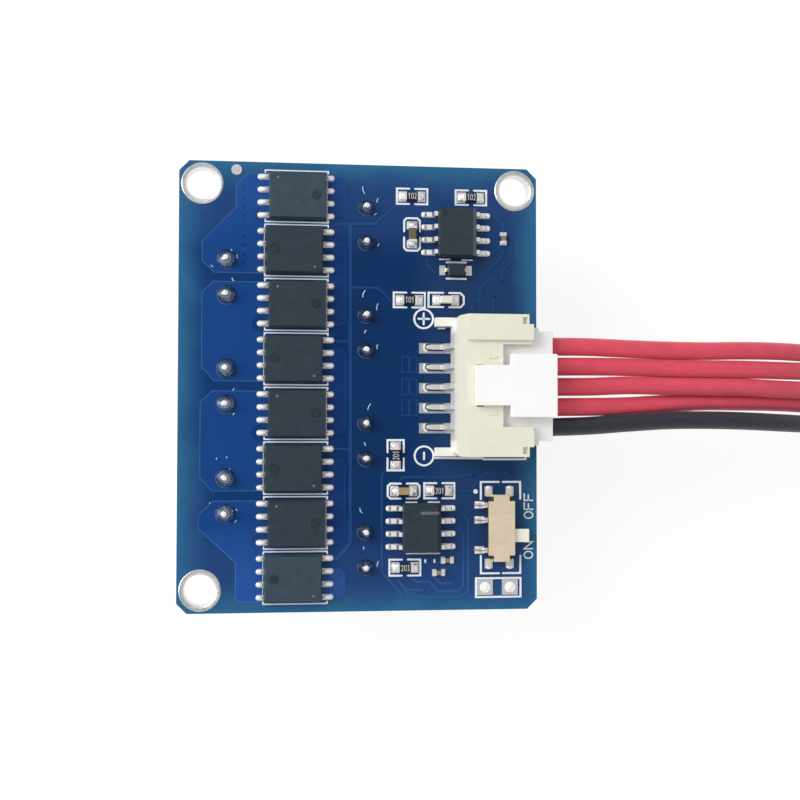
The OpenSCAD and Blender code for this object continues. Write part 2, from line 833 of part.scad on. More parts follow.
module wire(i) color(i == pin_count ? "#2b2d38" : "#d2485c") tube(wire_points(i - 1), wire_d);

// Section of the coil: the turns side by side, in layers
module coil_section(grow = 0) {
    translate([coil_r - coil_half - grow, tie_t]) square([2 * (coil_half + grow), coil_layers * wire_d]);
}

module wire_coil() color("#c0455a") {
    translate([coil_x, coil_y, 0]) rotate_extrude() coil_section();
    span([lead_in_x, -coil_half, tie_t], [coil_x, coil_half, tie_t + wire_d]);
}

// Tie: a band round the coil's section on its far side
module coil_tie() color("#2a2a2a") translate([coil_x, coil_y, 0]) rotate(-tie_angle / 2) {
    rotate_extrude(angle = tie_angle) difference() {
        translate([coil_r - coil_half - tie_gap - tie_t, 0])
            square([2 * (coil_half + tie_gap + tie_t), coil_layers * wire_d + 2 * tie_t]);
        coil_section(tie_gap);
    }
}

// Switch, seen from its centre: leads towards -X, knob towards +X, travel along Y
module switch_terminal(y) {
    bend = -switch_w / 2 - terminal_bend;
    tip = -switch_w / 2 - terminal_out;
    translate([0, y, 0]) side_profile([
        [-terminal_in, base_floor - terminal_t], [-terminal_in, base_floor],
        [bend - terminal_side, base_floor], [bend - terminal_side - terminal_lean, terminal_t],
        [tip, terminal_t], [tip, 0], [bend - terminal_lean, 0], [bend, base_floor - terminal_t]
    ], terminal_w);
}

module switch_pads() {
    terminal_pad_x = -(switch_w + terminal_out) / 2 - terminal_bend;
    for (y = terminal_ys) translate([terminal_pad_x, y, 0]) pad(terminal_out, terminal_pad_w);
    foot_y = switch_l / 2 + foot_out * foot_pad_share;
    for (x = [-1, 1], y = [-1, 1]) translate([x * foot_x, y * foot_y, 0]) pad(foot_pad.x, foot_pad.y);
}

module switch_base() color("#26272b") on_face(switch_place) {
    base_top = cover_inner_z - switch_fit;
    side_half = switch_l / 2 - notch_l - switch_fit;
    difference() {
        union() {
            block([inner_w, inner_l, base_top + pad_t], -pad_t);
            span([base_side - switch_w / 2, -side_half, -pad_t], [-pocket_w / 2, side_half, base_top]);
        }
        block([pocket_w, pocket_l, cover_inner_z], base_floor);
        span(
            [0, -slot_l / 2, knob_z - slide_gap],
            [switch_w, slot_l / 2, switch_h]
        );
        for (y = terminal_ys) switch_terminal(y);
    }
    for (s = [1, -1]) translate([0, s * peg_step, -pad_t - peg_l]) cylinder(d = peg_d, h = peg_l);
}

module switch_cover() color("#d9cbb0") on_face(switch_place) {
    difference() {
        block([switch_w, switch_l, switch_h - switch_lift], switch_lift);
        block([switch_w - 2 * sheet_t, switch_l - 2 * sheet_t, cover_inner_z + over], -over);
        for (x = [-1, 1], y = [-1, 1]) translate([x * switch_w / 2, y * switch_l / 2, 0])
            block([2 * notch_w, 2 * notch_l, 2 * switch_h]);
        span(
            [switch_w / 2 - 2 * sheet_t, -slot_l / 2, knob_z - slide_gap],
            [switch_w, slot_l / 2, knob_z + knob_h + slide_gap]
        );
        translate([-switch_w / 2, 0, 0]) block([4 * sheet_t, switch_l, cover_inner_z + over], -over);
    }
    for (x = [-1, 1], y = [-1, 1]) {
        translate([x * foot_x, y * (switch_l + foot_out - sheet_t) / 2, 0])
            block([foot_w, foot_out + sheet_t, foot_t]);
        translate([x * (foot_x - foot_w / 2), y * (switch_l - sheet_t) / 2, 0])
            block([2 * sheet_t, sheet_t, foot_t]);
    }
}

module switch_terminals() color("silver") on_face(switch_place) {
    for (y = terminal_ys) switch_terminal(y);
}

// Slider: a carrier in the base's pocket, with its knob out through the slot
module switch_slider() color("#f2eee0") on_face(switch_place) translate([0, on_y, 0]) {
    carrier_w = pocket_w - 2 * slide_gap;
    block([carrier_w, carrier_l, carrier_h], carrier_z);
    span([0, -knob_w / 2, knob_z], [switch_w / 2 + knob_out, knob_w / 2, knob_z + knob_h]);
}

module switch_contact() color("#c8b27a") on_face(switch_place) translate([0, on_y, 0]) {
    block([contact_strip_w, carrier_l - 2 * slide_gap, contact_t], base_floor + contact_lift);
}

// Capacitor can: a rounded closed end, a crimp near its mouth and a cross score in the closed end
module can(i) color("#c9ccd1") translate(can_places[i - 1]) {
    r = can_d / 2;
    flat_r = r - can_edge_r;
    crimp_z = can_h - crimp_from_mouth;
    groove_half = crimp_depth / 3;
    difference() {
        rotate_extrude() polygon(concat(
            [[0, 0], [flat_r, 0]],
            [for (a = [-75 : 15 : 0]) [flat_r + can_edge_r * cos(a), can_edge_r * (1 + sin(a))]],
            [[r, crimp_z - crimp_depth], [r - crimp_depth, crimp_z - groove_half]],
            [[r - crimp_depth, crimp_z + groove_half], [r, crimp_z + crimp_depth]],
            [[r, can_h - mouth_lip_h], [r - mouth_lip_in, can_h], [r - mouth_wall, can_h]],
            [[r - mouth_wall, can_h - seal_in], [0, can_h - seal_in]]
        ));
        for (turn = [0, 90]) rotate(turn) block([vent_l, vent_w, vent_depth + over], -over);
    }
}

// Rubber seal in a can's mouth, which the board rests on
module can_seals() color("#1f2022") {
    seal_h = seal_in + seal_out;
    for (p = can_places) translate([p.x, p.y, can_h - seal_in]) difference() {
        cylinder(d = can_d - 2 * (mouth_wall + seal_gap), h = seal_h);
        for (s = [1, -1]) translate([0, s * can_lead_pitch / 2, -over])
            cylinder(d = can_lead_d, h = seal_h + 2 * over);
    }
}

module can_leads() color("silver") {
    for (p = lead_places) translate([p.x, p.y, can_h - seal_in])
        cylinder(d = can_lead_d, h = seal_in + seal_out + board_t + joint_h + joint_tip);
}

// Solder joint: a hollow cone round its lead
module solder_joint(d) {
    lead_r = can_lead_d / 2;
    cone = d / 2 - lead_r;
    rotate_extrude() polygon(concat(
        [[lead_r, 0], [lead_r + cone, 0]],
        [for (p = joint_shape) [lead_r + cone * p.x, joint_h * p.y]],
        [[lead_r, joint_h]]
    ));
}

module solder_joints() color("#b9bcc0") {
    for (i = [0 : len(lead_places) - 1]) translate([lead_places[i].x, lead_places[i].y, face_z])
        solder_joint(i < 2 * left_can_count ? joint_d_left : joint_d_right);
}

circuit_board();
solder_pads();
hole_rings();
for (i = [1 : power_count]) power_chip(i);
power_chip_leads();
control_body(driver_place);  // driver_chip
control_leads(driver_place);  // driver_chip_leads
control_body(timer_place);  // timer_chip
control_leads(timer_place);  // timer_chip_leads
for (i = [1 : len(resistor_places)]) resistor(i);
for (i = [1 : len(ceramic_places)])
    ceramic_capacitor(i);
small_chips();
chip_end_caps();
led_base();
led_lens();
diode();
diode_leads();
header_housing();
header_pins();
header_anchors();
plug_housing();
plug_contacts();
for (i = [1 : pin_count]) wire(i);
wire_coil();
coil_tie();
switch_base();
switch_cover();
switch_terminals();
switch_slider();
switch_contact();
for (i = [1 : len(can_places)]) can(i);
can_seals();
can_leads();
solder_joints();
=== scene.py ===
"""Looks of a battery cell balancer module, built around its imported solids.

Lengths are metres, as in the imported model. Places written in millimetres pass through mm() once.
X runs towards the wires, Y along the row of power chips and Z up out of the board's face.
"""

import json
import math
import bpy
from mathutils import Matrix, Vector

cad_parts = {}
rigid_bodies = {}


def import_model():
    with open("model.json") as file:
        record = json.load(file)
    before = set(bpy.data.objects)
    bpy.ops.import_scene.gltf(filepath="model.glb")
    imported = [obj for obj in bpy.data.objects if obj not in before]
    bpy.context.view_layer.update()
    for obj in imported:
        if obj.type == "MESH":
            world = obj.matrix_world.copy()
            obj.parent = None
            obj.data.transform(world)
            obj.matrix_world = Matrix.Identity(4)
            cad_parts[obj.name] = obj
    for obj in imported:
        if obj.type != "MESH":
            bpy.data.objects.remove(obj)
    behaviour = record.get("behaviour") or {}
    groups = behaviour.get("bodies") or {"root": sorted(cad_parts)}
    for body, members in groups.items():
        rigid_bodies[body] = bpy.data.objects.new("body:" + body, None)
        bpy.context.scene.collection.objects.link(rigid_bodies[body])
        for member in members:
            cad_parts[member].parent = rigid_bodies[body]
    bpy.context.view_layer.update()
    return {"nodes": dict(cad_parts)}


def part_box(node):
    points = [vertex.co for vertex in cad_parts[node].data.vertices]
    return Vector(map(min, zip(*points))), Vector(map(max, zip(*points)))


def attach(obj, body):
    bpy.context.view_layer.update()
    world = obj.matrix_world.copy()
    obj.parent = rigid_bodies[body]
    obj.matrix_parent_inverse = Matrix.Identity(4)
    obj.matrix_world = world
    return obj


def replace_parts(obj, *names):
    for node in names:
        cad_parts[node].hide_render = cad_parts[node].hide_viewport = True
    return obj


bl_info = {
    "name": "Battery Balancer Looks",
    "version": (1, 0, 0),
    "blender": (4, 5, 0),
    "location": "View3D > Sidebar > Balancer",
    "description": "Board finish, print, solder, wires and stage of a battery balancer module",
    "category": "Object",
}

import bpy
import numpy as np
from mathutils import Matrix, Vector

for leftover in list(bpy.data.objects):
    bpy.data.objects.remove(leftover)
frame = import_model()
NODES = frame["nodes"]

MODULE = "module"
POWER_COUNT = 8
WIRE_COUNT = 5


def mm(values):
    """Millimetres as metres, for one number or a list of them."""
    return np.asarray(values, float) * 0.001


def box(node):
    """Lowest and highest corner of a node, as arrays."""
    low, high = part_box(node)
    return np.array(low), np.array(high)


def middle(node):
    """Centre of a node's box."""
    low, high = box(node)
    return (low + high) / 2


BOARD_LOW, BOARD_HIGH = box("circuit_board")
BOARD_HALF = (BOARD_HIGH - BOARD_LOW) / 2
FACE = BOARD_HIGH[2]
SEAT = box("solder_pads")[1][2]
LEAD_PITCH = mm(1.27)
LEAD_STEPS = (np.arange(4) - 1.5) * LEAD_PITCH


# Sizes and colours that a user would change


def length(label, words, value):
    """A length property in metres."""
    return bpy.props.FloatProperty(
        name=label, description=words, default=value, min=0, unit="LENGTH", precision=6
    )


def colour(label, words, value):
    """A colour property in linear red, green and blue."""
    return bpy.props.FloatVectorProperty(
        name=label, description=words, default=value, size=3, min=0, max=1, subtype="COLOR"
    )


class BalancerSizes(bpy.types.PropertyGroup):
    """Sizes of the pieces that dress the module."""

    print_width: length("Print width", "Width of a printed line", 0.00021)
    print_height: length("Print height", "Thickness of the printed ink", 0.00003)
    track_width: length("Track width", "Width of a copper track", 0.00024)
    copper_height: length("Copper height", "Height of a copper field under its mask", 0.00004)
    rim_width: length("Rim width", "Width of the lit rim round a copper field", 0.00013)
    bead_height: length("Bead height", "Height of the solder on a chip lead's pad", 0.00034)
    edge_round: length("Edge round", "Rounding of moulded plastic edges", 0.00008)
    wire_diameter: length("Wire diameter", "Diameter over a wire's rubber", 0.0018)
    wire_length: length("Wire length", "Length of each wire from the plug to its cut end", 0.140)
    tip_length: length("Tip length", "Length of the bare end of a wire", 0.0035)
    tip_diameter: length("Tip diameter", "Diameter of a wire's bare strands", 0.0009)
    band_width: length("Band width", "Width of the band round the coiled ends", 0.003)


class BalancerColours(bpy.types.PropertyGroup):
    """Colours of the module's finishes."""

    mask: colour("Mask", "Solder mask over the power side", (0.003, 0.036, 0.142))
    mask_lift: colour("Mask, lifted", "Solder mask towards the upper and lower edges", (0.016, 0.056, 0.188))
    mask_middle: colour("Mask, middle", "Solder mask beside the power chips", (0.002, 0.028, 0.112))
    mask_right: colour("Mask, right", "Solder mask over the control side", (0.011, 0.042, 0.130))
    mask_edge: colour("Mask, edge", "Solder mask where light comes through the edge", (0.024, 0.125, 0.255))
    copper: colour("Copper field", "Mask over a copper field", (0.006, 0.052, 0.218))
    copper_right: colour("Copper field, right", "Mask over a right copper field", (0.005, 0.034, 0.15))
    copper_rim: colour("Copper rim", "Mask over the rim of a copper field", (0.026, 0.105, 0.275))
    track: colour("Track", "Mask over a copper track", (0.010, 0.056, 0.178))
    print_ink: colour("Print", "Printed ink", (0.78, 0.83, 0.88))
    mould: colour("Chip", "Chip moulding compound", (0.024, 0.046, 0.068))
    control: colour("Control chip", "Moulding compound of the control chips", (0.017, 0.029, 0.041))
    bevel: colour("Chip bevel", "Bevel of a chip that catches the light", (0.11, 0.125, 0.15))
    chip_mark: colour("Chip mark", "Pale mark on a chip", (0.12, 0.13, 0.135))
    # Painted highlight: the rear tabs' nylon made paler where it faces the lamps
    ivory_tab_highlight: colour("Ivory, pale", "Nylon of the header's rear tabs", (0.86, 0.85, 0.79))
    # Painted shade: the rear ledge's nylon greyed where it lies in shade
    ivory_ledge_shade: colour("Ivory, ledge", "Nylon of the header's rear ledge", (0.56, 0.56, 0.53))
    ivory: colour("Header", "Ivory header nylon", (0.80, 0.775, 0.645))
    white: colour("Plug", "White plug nylon", (0.965, 0.965, 0.95))
    red: colour("Red wire", "Red wire rubber", (0.70, 0.063, 0.107))
    black: colour("Black wire", "Black wire rubber", (0.017, 0.018, 0.031))
    tin: colour("Tin", "Tin plating", (0.82, 0.82, 0.80))
    pin: colour("Pin", "Tin of the header's pins", (0.72, 0.74, 0.725))
    # Painted shade on the pins' rising legs
    pin_leg_shade: colour("Pin, leg", "Tin of the pins where they rise", (0.44, 0.46, 0.45))
    foot: colour("Switch foot", "Tinned feet of the switch", (0.74, 0.72, 0.66))
    pad: colour("Pad", "Tinned pads of the board", (0.82, 0.80, 0.80))
    # Painted shade: the pads under the header's pins, darker and bluer than the other pads
    pin_pad: colour("Pin pad", "Tinned pads under the header's pins", (0.56, 0.60, 0.66))
    bright: colour("Bright solder", "Solder on the pads", (0.94, 0.94, 0.93))
    # Painted shade on the steep parts of the control chips' leads
    bend: colour("Bend", "Steep part of a bent lead", (0.05, 0.06, 0.08))
    # Partly solder's own grey, darkened and tinted blue as a painted reflection of the dark overhead and the
    # blue board
    solder: colour("Solder", "Solder of the capacitors' joints", (0.27, 0.33, 0.41))
    sheet: colour("Switch cover", "Sheet metal of the switch", (0.79, 0.66, 0.49))
    knob: colour("Knob", "Cream knob", (0.89, 0.88, 0.76))
    can: colour("Can", "Drawn aluminium", (0.76, 0.77, 0.79))
    fibre_dark: colour("Fibre, dark", "Dark layers of the board's cut sides", (0.10, 0.16, 0.15))
    fibre_pale: colour("Fibre, pale", "Pale layers of the board's cut sides", (0.24, 0.30, 0.22))
    # Painted shade: a near-black fillet stands for the dark outline round each pin's foot
    fillet: colour("Pin fillet", "Dark fillet round the header's pins", (0.03, 0.03, 0.035))
    # Painted shade: a dark line along the middle of each switch terminal
    groove_shade: colour("Groove", "Groove in a switch terminal", (0.26, 0.24, 0.20))
    # Dried flux, and the colour of a few painted glints of solder
    flux: colour("Flux", "Dried flux beside the joints", (0.60, 0.66, 0.74))
    # Painted highlight on the rims of the joints
    joint_rim_highlight: colour("Joint rim", "Thin rim at the foot of a joint", (0.14, 0.23, 0.36))
    diode: colour("Diode", "Moulding compound of the diode", (0.010, 0.017, 0.034))
    glaze: colour("Glaze", "Glaze of the resistors", (0.018, 0.018, 0.02))
    code_ink: colour("Code", "Ink of the resistors' codes", (0.6, 0.6, 0.58))
    brown: colour("Ceramic, brown", "First ceramic capacitor", (0.135, 0.095, 0.062))
    tan: colour("Ceramic, tan", "Second ceramic capacitor", (0.36, 0.245, 0.12))
    grey: colour("Ceramic, grey", "Very small chips", (0.25, 0.2, 0.15))
    lamp: colour("Lamp base", "Base of the indicator lamp", (0.82, 0.80, 0.72))
    lens: colour("Lens", "Clear epoxy of the lamp, with a warm tint", (0.90, 0.89, 0.80))
    bronze: colour("Plug contact", "Bronze of the plug's contacts", (0.72, 0.62, 0.42))
    switch_base: colour("Switch base", "Moulded base of the switch", (0.03, 0.03, 0.034))
    brass: colour("Switch contact", "Contact strip of the switch", (0.72, 0.6, 0.36))
    seal: colour("Seal", "Rubber seals of the capacitors", (0.02, 0.02, 0.021))
    tape: colour("Band", "Tape of the band round the wires", (0.022, 0.022, 0.024))


# Finishes


class Nodes:
    """A node tree, with short ways to add nodes and join them."""

    def __init__(self, tree):
        self.tree = tree

    def feed(self, socket, value):
        """Join a socket to another, or set it to a constant."""
        if isinstance(value, bpy.types.NodeSocket):
            self.tree.links.new(value, socket)
        elif hasattr(socket.default_value, "__len__") and len(socket.default_value) == 4:
            socket.default_value = (*value, 1.0)
        else:
            socket.default_value = value

    def node(self, kind, inputs, output=0, **settings):
        """Add a node, feed its inputs and return one of its outputs."""
        made = self.tree.nodes.new(kind)
        for key, value in settings.items():
            setattr(made, key, value)
        for key, value in inputs.items():
            self.feed(made.inputs[key], value)
        return made.outputs[output]

    def part(self, vector, axis):
        """The x, y or z part of a place or normal."""
        return self.node("ShaderNodeSeparateXYZ", {0: vector}, output=axis)

    def math(self, operation, *values):
        """One sum on numbers."""
        return self.node("ShaderNodeMath", dict(enumerate(values)), operation=operation)

    def spread(self, value, low, high, to_low=0.0, to_high=1.0):
        """A value's range from low to high as to_low to to_high, held at both ends."""
        ends = {"From Min": low, "From Max": high, "To Min": to_low, "To Max": to_high}
        return self.node("ShaderNodeMapRange", {"Value": value, **ends})

    def seen(self):
        """One for what the camera sees, straight or by way of gloss or a lens, and nought for other light."""
        rays = self.tree.nodes.new("ShaderNodeLightPath").outputs
        seen = self.math("MAXIMUM", rays["Is Camera Ray"], rays["Is Glossy Ray"])
        return self.math("MAXIMUM", seen, rays["Is Transmission Ray"])


class Finish(Nodes):
    """A material's nodes. Patterns read Object coordinates, and leaning faces the Object normal."""

    def __init__(self, name):
        self.material = bpy.data.materials.new(name)
        self.material.use_nodes = True
        super().__init__(self.material.node_tree)
        self.shader = self.tree.nodes["Principled BSDF"]
        source = self.tree.nodes.new("ShaderNodeTexCoord")
        self.place, self.normal = source.outputs["Object"], source.outputs["Normal"]

    def away(self, axis, centre=0.0):
        """Distance from the plane square to an axis at centre."""
        return self.math("ABSOLUTE", self.math("SUBTRACT", self.part(self.place, axis), centre))

    def noise(self, grain, detail=3.0, stretch=(1.0, 1.0, 1.0)):
        """Soft noise whose lumps are about grain across, drawn out by stretch."""
        scaled = self.node("ShaderNodeMapping", {"Vector": self.place, "Scale": stretch})
        return self.node("ShaderNodeTexNoise", {"Vector": scaled, "Scale": 1 / grain, "Detail": detail})

    def blend(self, share, first, second):
        """Colour between two others."""
        return self.node("ShaderNodeMix", {0: share, 6: first, 7: second}, output=2, data_type="RGBA")

    def bump(self, height, strength, distance):
        """Feed the shader's normal from a height."""
        inputs = {"Height": height, "Strength": strength, "Distance": distance}
        self.feed(self.shader.inputs["Normal"], self.node("ShaderNodeBump", inputs))

    def sockets(self, **values):
        """Set shader sockets by name, with spaces as underscores."""
        for key, value in values.items():
            self.feed(self.shader.inputs[key.replace("_", " ")], value)


# How each finish is worked: its grain in metres, the drift of its colour, its roughness, its bump, and what
# the shader takes beside these
PLAIN, METAL = {}, {"Metallic": 1.0}
FINISHES = {
    "white print": (0.00015, 0.08, (0.55, 0.7), 0.2, PLAIN),
    "tin plating": (0.0002, 0.08, (0.26, 0.42), 0.06, METAL),
    "tinned pads": (0.0002, 0.0, (0.26, 0.42), 0.06, {"Metallic": 0.75}),
    "cap tin": (0.0002, 0.08, (0.26, 0.42), 0.06, {"Metallic": 0.6}),
    "pin tin": (0.00012, 0.03, (0.34, 0.42), 0.03, {"Metallic": 0.45}),
    "shaded bent tin": (0.0003, 0.03, (0.3, 0.42), 0.03, {"Metallic": 0.2}),
    "bright solder": (0.0003, 0.08, (0.14, 0.22), 0.03, {"Metallic": 0.7}),
    "satin solder": (0.0003, 0.03, (0.3, 0.42), 0.03, {"Metallic": 0.4}),
    "solder cone": (0.0006, 0.2, (0.2, 0.3), 0.2, METAL),
    "pin fillet": (0.0002, 0.1, (0.5, 0.6), 0.03, {"Specular_IOR_Level": 0.15}),
    "terminal groove shade": (0.0002, 0.15, (0.4, 0.5), 0.03, PLAIN),
    "dried flux": (0.0001, 0.2, (0.2, 0.5), 0.4, PLAIN),
    "joint rim highlight": (0.0001, 0.2, (0.3, 0.5), 0.2, PLAIN),
    "chip mould": (0.00006, 0.16, (0.5, 0.66), 0.35, {"Specular_IOR_Level": 0.4}),
    "diode mould": (0.00006, 0.16, (0.45, 0.6), 0.3, PLAIN),
    "smooth mould": (0.0001, 0.1, (0.3, 0.4), 0.05, PLAIN),
    "chip mark": (0.0001, 0.1, (0.4, 0.55), 0.15, PLAIN),
    "code ink": (0.0001, 0.1, (0.4, 0.55), 0.15, PLAIN),
    "resistor glaze": (0.0001, 0.2, (0.18, 0.3), 0.05, PLAIN),
    "brown ceramic": (0.0002, 0.1, (0.4, 0.55), 0.1, PLAIN),
    "tan ceramic": (0.0002, 0.1, (0.4, 0.55), 0.1, PLAIN),
    "grey ceramic": (0.0001, 0.15, (0.4, 0.55), 0.1, PLAIN),
    "lamp base": (0.0001, 0.05, (0.45, 0.6), 0.1, PLAIN),
    "lamp lens": (0.0002, 0.04, (0.10, 0.18), 0.03, {"Transmission_Weight": 0.15, "IOR": 1.5}),
    "ivory nylon": (0.0002, 0.03, (0.42, 0.55), 0.08, PLAIN),
    "white nylon": (0.0002, 0.02, (0.42, 0.55), 0.06, PLAIN),
    "cream nylon": (0.0002, 0.03, (0.42, 0.55), 0.06, PLAIN),
    "contact bronze": (0.00012, 0.08, (0.25, 0.4), 0.1, METAL),
    "switch sheet": (0.00015, 0.06, (0.42, 0.55), 0.12, {"Metallic": 0.35}),
    "switch base": (0.0001, 0.15, (0.5, 0.65), 0.2, PLAIN),
    "switch contact": (0.0001, 0.08, (0.2, 0.4), 0.2, METAL),
    "drawn aluminium": (0.0002, 0.06, (0.24, 0.42), 0.15, METAL),
    "seal rubber": (0.0002, 0.15, (0.6, 0.75), 0.2, PLAIN),
    "wire rubber": (0.00008, 0.08, (0.42, 0.56), 0.10, {"Specular_IOR_Level": 0.45, "Sheen_Weight": 0.15}),
    "tinned strands": (0.0001, 0.08, (0.2, 0.4), 0.2, METAL),
    "band tape": (0.00015, 0.15, (0.35, 0.5), 0.2, PLAIN),
}
# Lumps of the wide noise in grains, the range in which nearly all fine noise lies, and the same for both
# noises together
WIDE_GRAINS, NOISE_SPAN, BOTH_SPAN = 12, (0.3, 0.7), (0.75, 1.25)
# Depth of a grain's bump, as a share of the grain
GRAIN_DEPTH = 0.3


def shade(base, share):
    """A colour made lighter or darker by a share of itself."""
    return tuple(min(1.0, c * (1 + share)) for c in base)


def worked(name, base, *over, recipe=None, stretch=(1, 1, 1)):
    """A finish whose colour and roughness drift with soft noise over a fine bumpy grain. Each pair in
    over is a function that gives a share of the surface, and the colour of that share."""
    grain, drift, rough, bump, extra = FINISHES[recipe or name]
    finish = Finish(name)
    wide = finish.noise(grain * WIDE_GRAINS, stretch=stretch)
    fine = finish.noise(grain, stretch=stretch)
    share = finish.spread(finish.math("ADD", wide, fine), *BOTH_SPAN)
    colour = finish.blend(share, shade(base, -drift), shade(base, drift))
    for part, other in over:
        colour = finish.blend(part(finish), colour, other)
    finish.sockets(Base_Color=colour, Roughness=finish.spread(fine, *NOISE_SPAN, *rough), **extra)
    finish.bump(fine, bump, grain * GRAIN_DEPTH)
    return finish.material


# Where the mask changes colour, in metres: in from every edge, across the board, in from the upper and lower
# edges, and along the lower part of the left side; then over copper
EDGE_FADE, EDGE_CURVE = (0.0002, 0.0032), 1.6
MIDDLE_FADE, RIGHT_FADE = (-0.004, -0.002), (0.005, 0.0085)
LIFT_FADE, LIFT_SHARE = (0.0045, 0.0095), 0.85
SIDE_FADE, SIDE_SHARE, LOWER_FADE = (-0.0158, -0.0142), 0.75, (-0.010, -0.003)
COPPER_FADE, UPPER_FADE, UPPER_SHARE = (0.0025, 0.009), (-0.006, 0.006), 0.6
# Size of the clouds in the mask, and how far they sway the places above
CLOUD_GRAIN, MASK_WANDER, COPPER_WANDER = 0.004, 0.002, 0.006
FIBRE_GRAIN, FIBRE_STRETCH, FIBRE_SPAN = 0.00012, (0.12, 0.12, 1.0), (0.35, 0.65)
# Gloss of the board and of copper fields: grain, roughness, bump and the bump's depth
BOARD_GLOSS, COPPER_GLOSS = (0.00025, (0.30, 0.42), 0.06, 0.00004), (0.0003, (0.28, 0.4), 0.05, 0.0001)
MASK_SPECULAR = 0.14
# How far a normal points up or down on the board's faces, and not on its cut sides
FACE_SPAN = (0.4, 0.6)
# Pale tint that a lifted colour takes on
LIFT_TINT = 0.02


def inset(finish, axis):
    """Distance in from the nearer edge of the board along an axis."""
    return finish.math("SUBTRACT", float(BOARD_HALF[axis]), finish.away(axis))


def wander(finish, reach):
    """Soft noise that takes a place to either side, by half of reach at most."""
    cloud = finish.noise(CLOUD_GRAIN, detail=2.0)
    return finish.math("MULTIPLY", finish.math("SUBTRACT", cloud, 0.5), reach)


def glossed(finish, colour, grain, rough, bump, depth):
    """The gloss of solder mask over a colour, with a fine grain."""
    fine = finish.noise(grain)
    roughness = finish.spread(fine, *NOISE_SPAN, *rough)
    finish.sockets(Base_Color=colour, Roughness=roughness, Specular_IOR_Level=MASK_SPECULAR)
    finish.bump(fine, bump, depth)
    return finish.material


def board_mask(colours):
    """Solder mask: deep blue over the power side, darker in the middle, teal at the edges where
    light comes through the glass fibre, and bare layered fibre on the cut sides."""
    finish = Finish("board mask")
    sway = wander(finish, MASK_WANDER)

    def fade(place, reach, *ends):
        return finish.spread(finish.math("ADD", place, sway), *reach, *ends)

    x, y = (finish.part(finish.place, axis) for axis in (0, 1))
    inset_y = inset(finish, 1)
    field = finish.blend(fade(x, MIDDLE_FADE), colours.mask, colours.mask_middle)
    field = finish.blend(fade(x, RIGHT_FADE), field, colours.mask_right)
    lower = finish.spread(y, *LOWER_FADE, 1.0, 0.0)
    lower_side = finish.math("MULTIPLY", fade(x, SIDE_FADE, SIDE_SHARE, 0.0), lower)
    lift = finish.math("MAXIMUM", fade(inset_y, LIFT_FADE, LIFT_SHARE, 0.0), lower_side)
    field = finish.blend(lift, field, colours.mask_lift)
    edge = fade(finish.math("MINIMUM", inset(finish, 0), inset_y), EDGE_FADE, 1.0, 0.0)
    face = finish.blend(finish.math("POWER", edge, EDGE_CURVE), field, colours.mask_edge)
    layers = finish.spread(finish.noise(FIBRE_GRAIN, stretch=FIBRE_STRETCH), *FIBRE_SPAN)
    fibre = finish.blend(layers, colours.fibre_dark, colours.fibre_pale)
    flat = finish.spread(finish.math("ABSOLUTE", finish.part(finish.normal, 2)), *FACE_SPAN)
    return glossed(finish, finish.blend(flat, fibre, face), *BOARD_GLOSS)


def coated(name, base, lift=0.85):
    """Mask over copper: the board's gloss, lighter by a share towards the upper and lower edges."""
    finish = Finish(name)
    from_edge = finish.math("ADD", inset(finish, 1), wander(finish, COPPER_WANDER))
    upper = finish.spread(finish.part(finish.place, 1), *UPPER_FADE, 1.0, UPPER_SHARE)
    share = finish.math("MULTIPLY", finish.spread(from_edge, *COPPER_FADE, 1.0, 0.0), upper)
    lifted = tuple(c * (1 + lift) + LIFT_TINT * lift for c in base)
    return glossed(finish, finish.blend(share, base, lifted), *COPPER_GLOSS)


# Places that take their own colour or painted light, in metres: the pads in the header's painted shade, the
# painted highlights at the tip and the bend of each pin's foot, the ledge in painted shade and the tabs with a
# painted highlight along the header's rear, and the feet of the switch beyond half its length
PIN_PADS = {"centre": 0.007, "half": (0.0016, 0.0018), "reach": (0.0052, 0.0054)}
PIN_TIP, PIN_BEND, PIN_BEND_HALF = (0.00672, 0.00692), 0.0081, (0.0001, 0.00018)
HEADER_REAR, LEDGE_HALF = (0.0091, 0.0094), (0.0052, 0.0055)
SWITCH_HALF = (0.0033, 0.00342)
# How far a face's normal points along x before the face counts as leaning
LEANING, LEANING_BACK = (0.2, 0.4), (-0.3, -0.15)


def pin_pads(finish):
    """The pads in the header's shade."""
    by_x = finish.spread(finish.away(0, PIN_PADS["centre"]), *PIN_PADS["half"], 1.0, 0.0)
    return finish.math("MULTIPLY", by_x, finish.spread(finish.away(1), *PIN_PADS["reach"], 1.0, 0.0))


def pin_highlights(finish):
    """Painted highlights at the tip of a pin's foot, and at the end of the foot before it bends up."""
    tip = finish.spread(finish.part(finish.place, 0), *PIN_TIP, 1.0, 0.0)
    return finish.math("MAXIMUM", tip, finish.spread(finish.away(0, PIN_BEND), *PIN_BEND_HALF, 1.0, 0.0))


def rear_slope_painted_shade(finish):
    """Faces of the header that lean to its rear, which take a painted shade."""
    return finish.spread(finish.part(finish.normal, 0), *LEANING_BACK, 1.0, 0.0)


def rear_ledge(finish):
    """The header's thin ledge, which takes a painted shade, and the tabs at its ends."""
    return finish.spread(finish.part(finish.place, 0), *HEADER_REAR, 1.0, 0.0)


def rear_tabs(finish):
    """The tabs alone, which take a painted highlight."""
    return finish.math("MULTIPLY", rear_ledge(finish), finish.spread(finish.away(1), *LEDGE_HALF))


def right_faces(finish):
    """Faces that lean towards +x, which take a painted highlight."""
    return finish.spread(finish.part(finish.normal, 0), *LEANING)


def bent_faces(finish):
    """Faces that lean either way along x, which take a painted shade."""
    return finish.spread(finish.math("ABSOLUTE", finish.part(finish.normal, 0)), *LEANING)


def switch_feet(finish):
    """The feet of the switch's cover."""
    return finish.spread(finish.away(1, float(middle("switch_cover")[1])), *SWITCH_HALF)


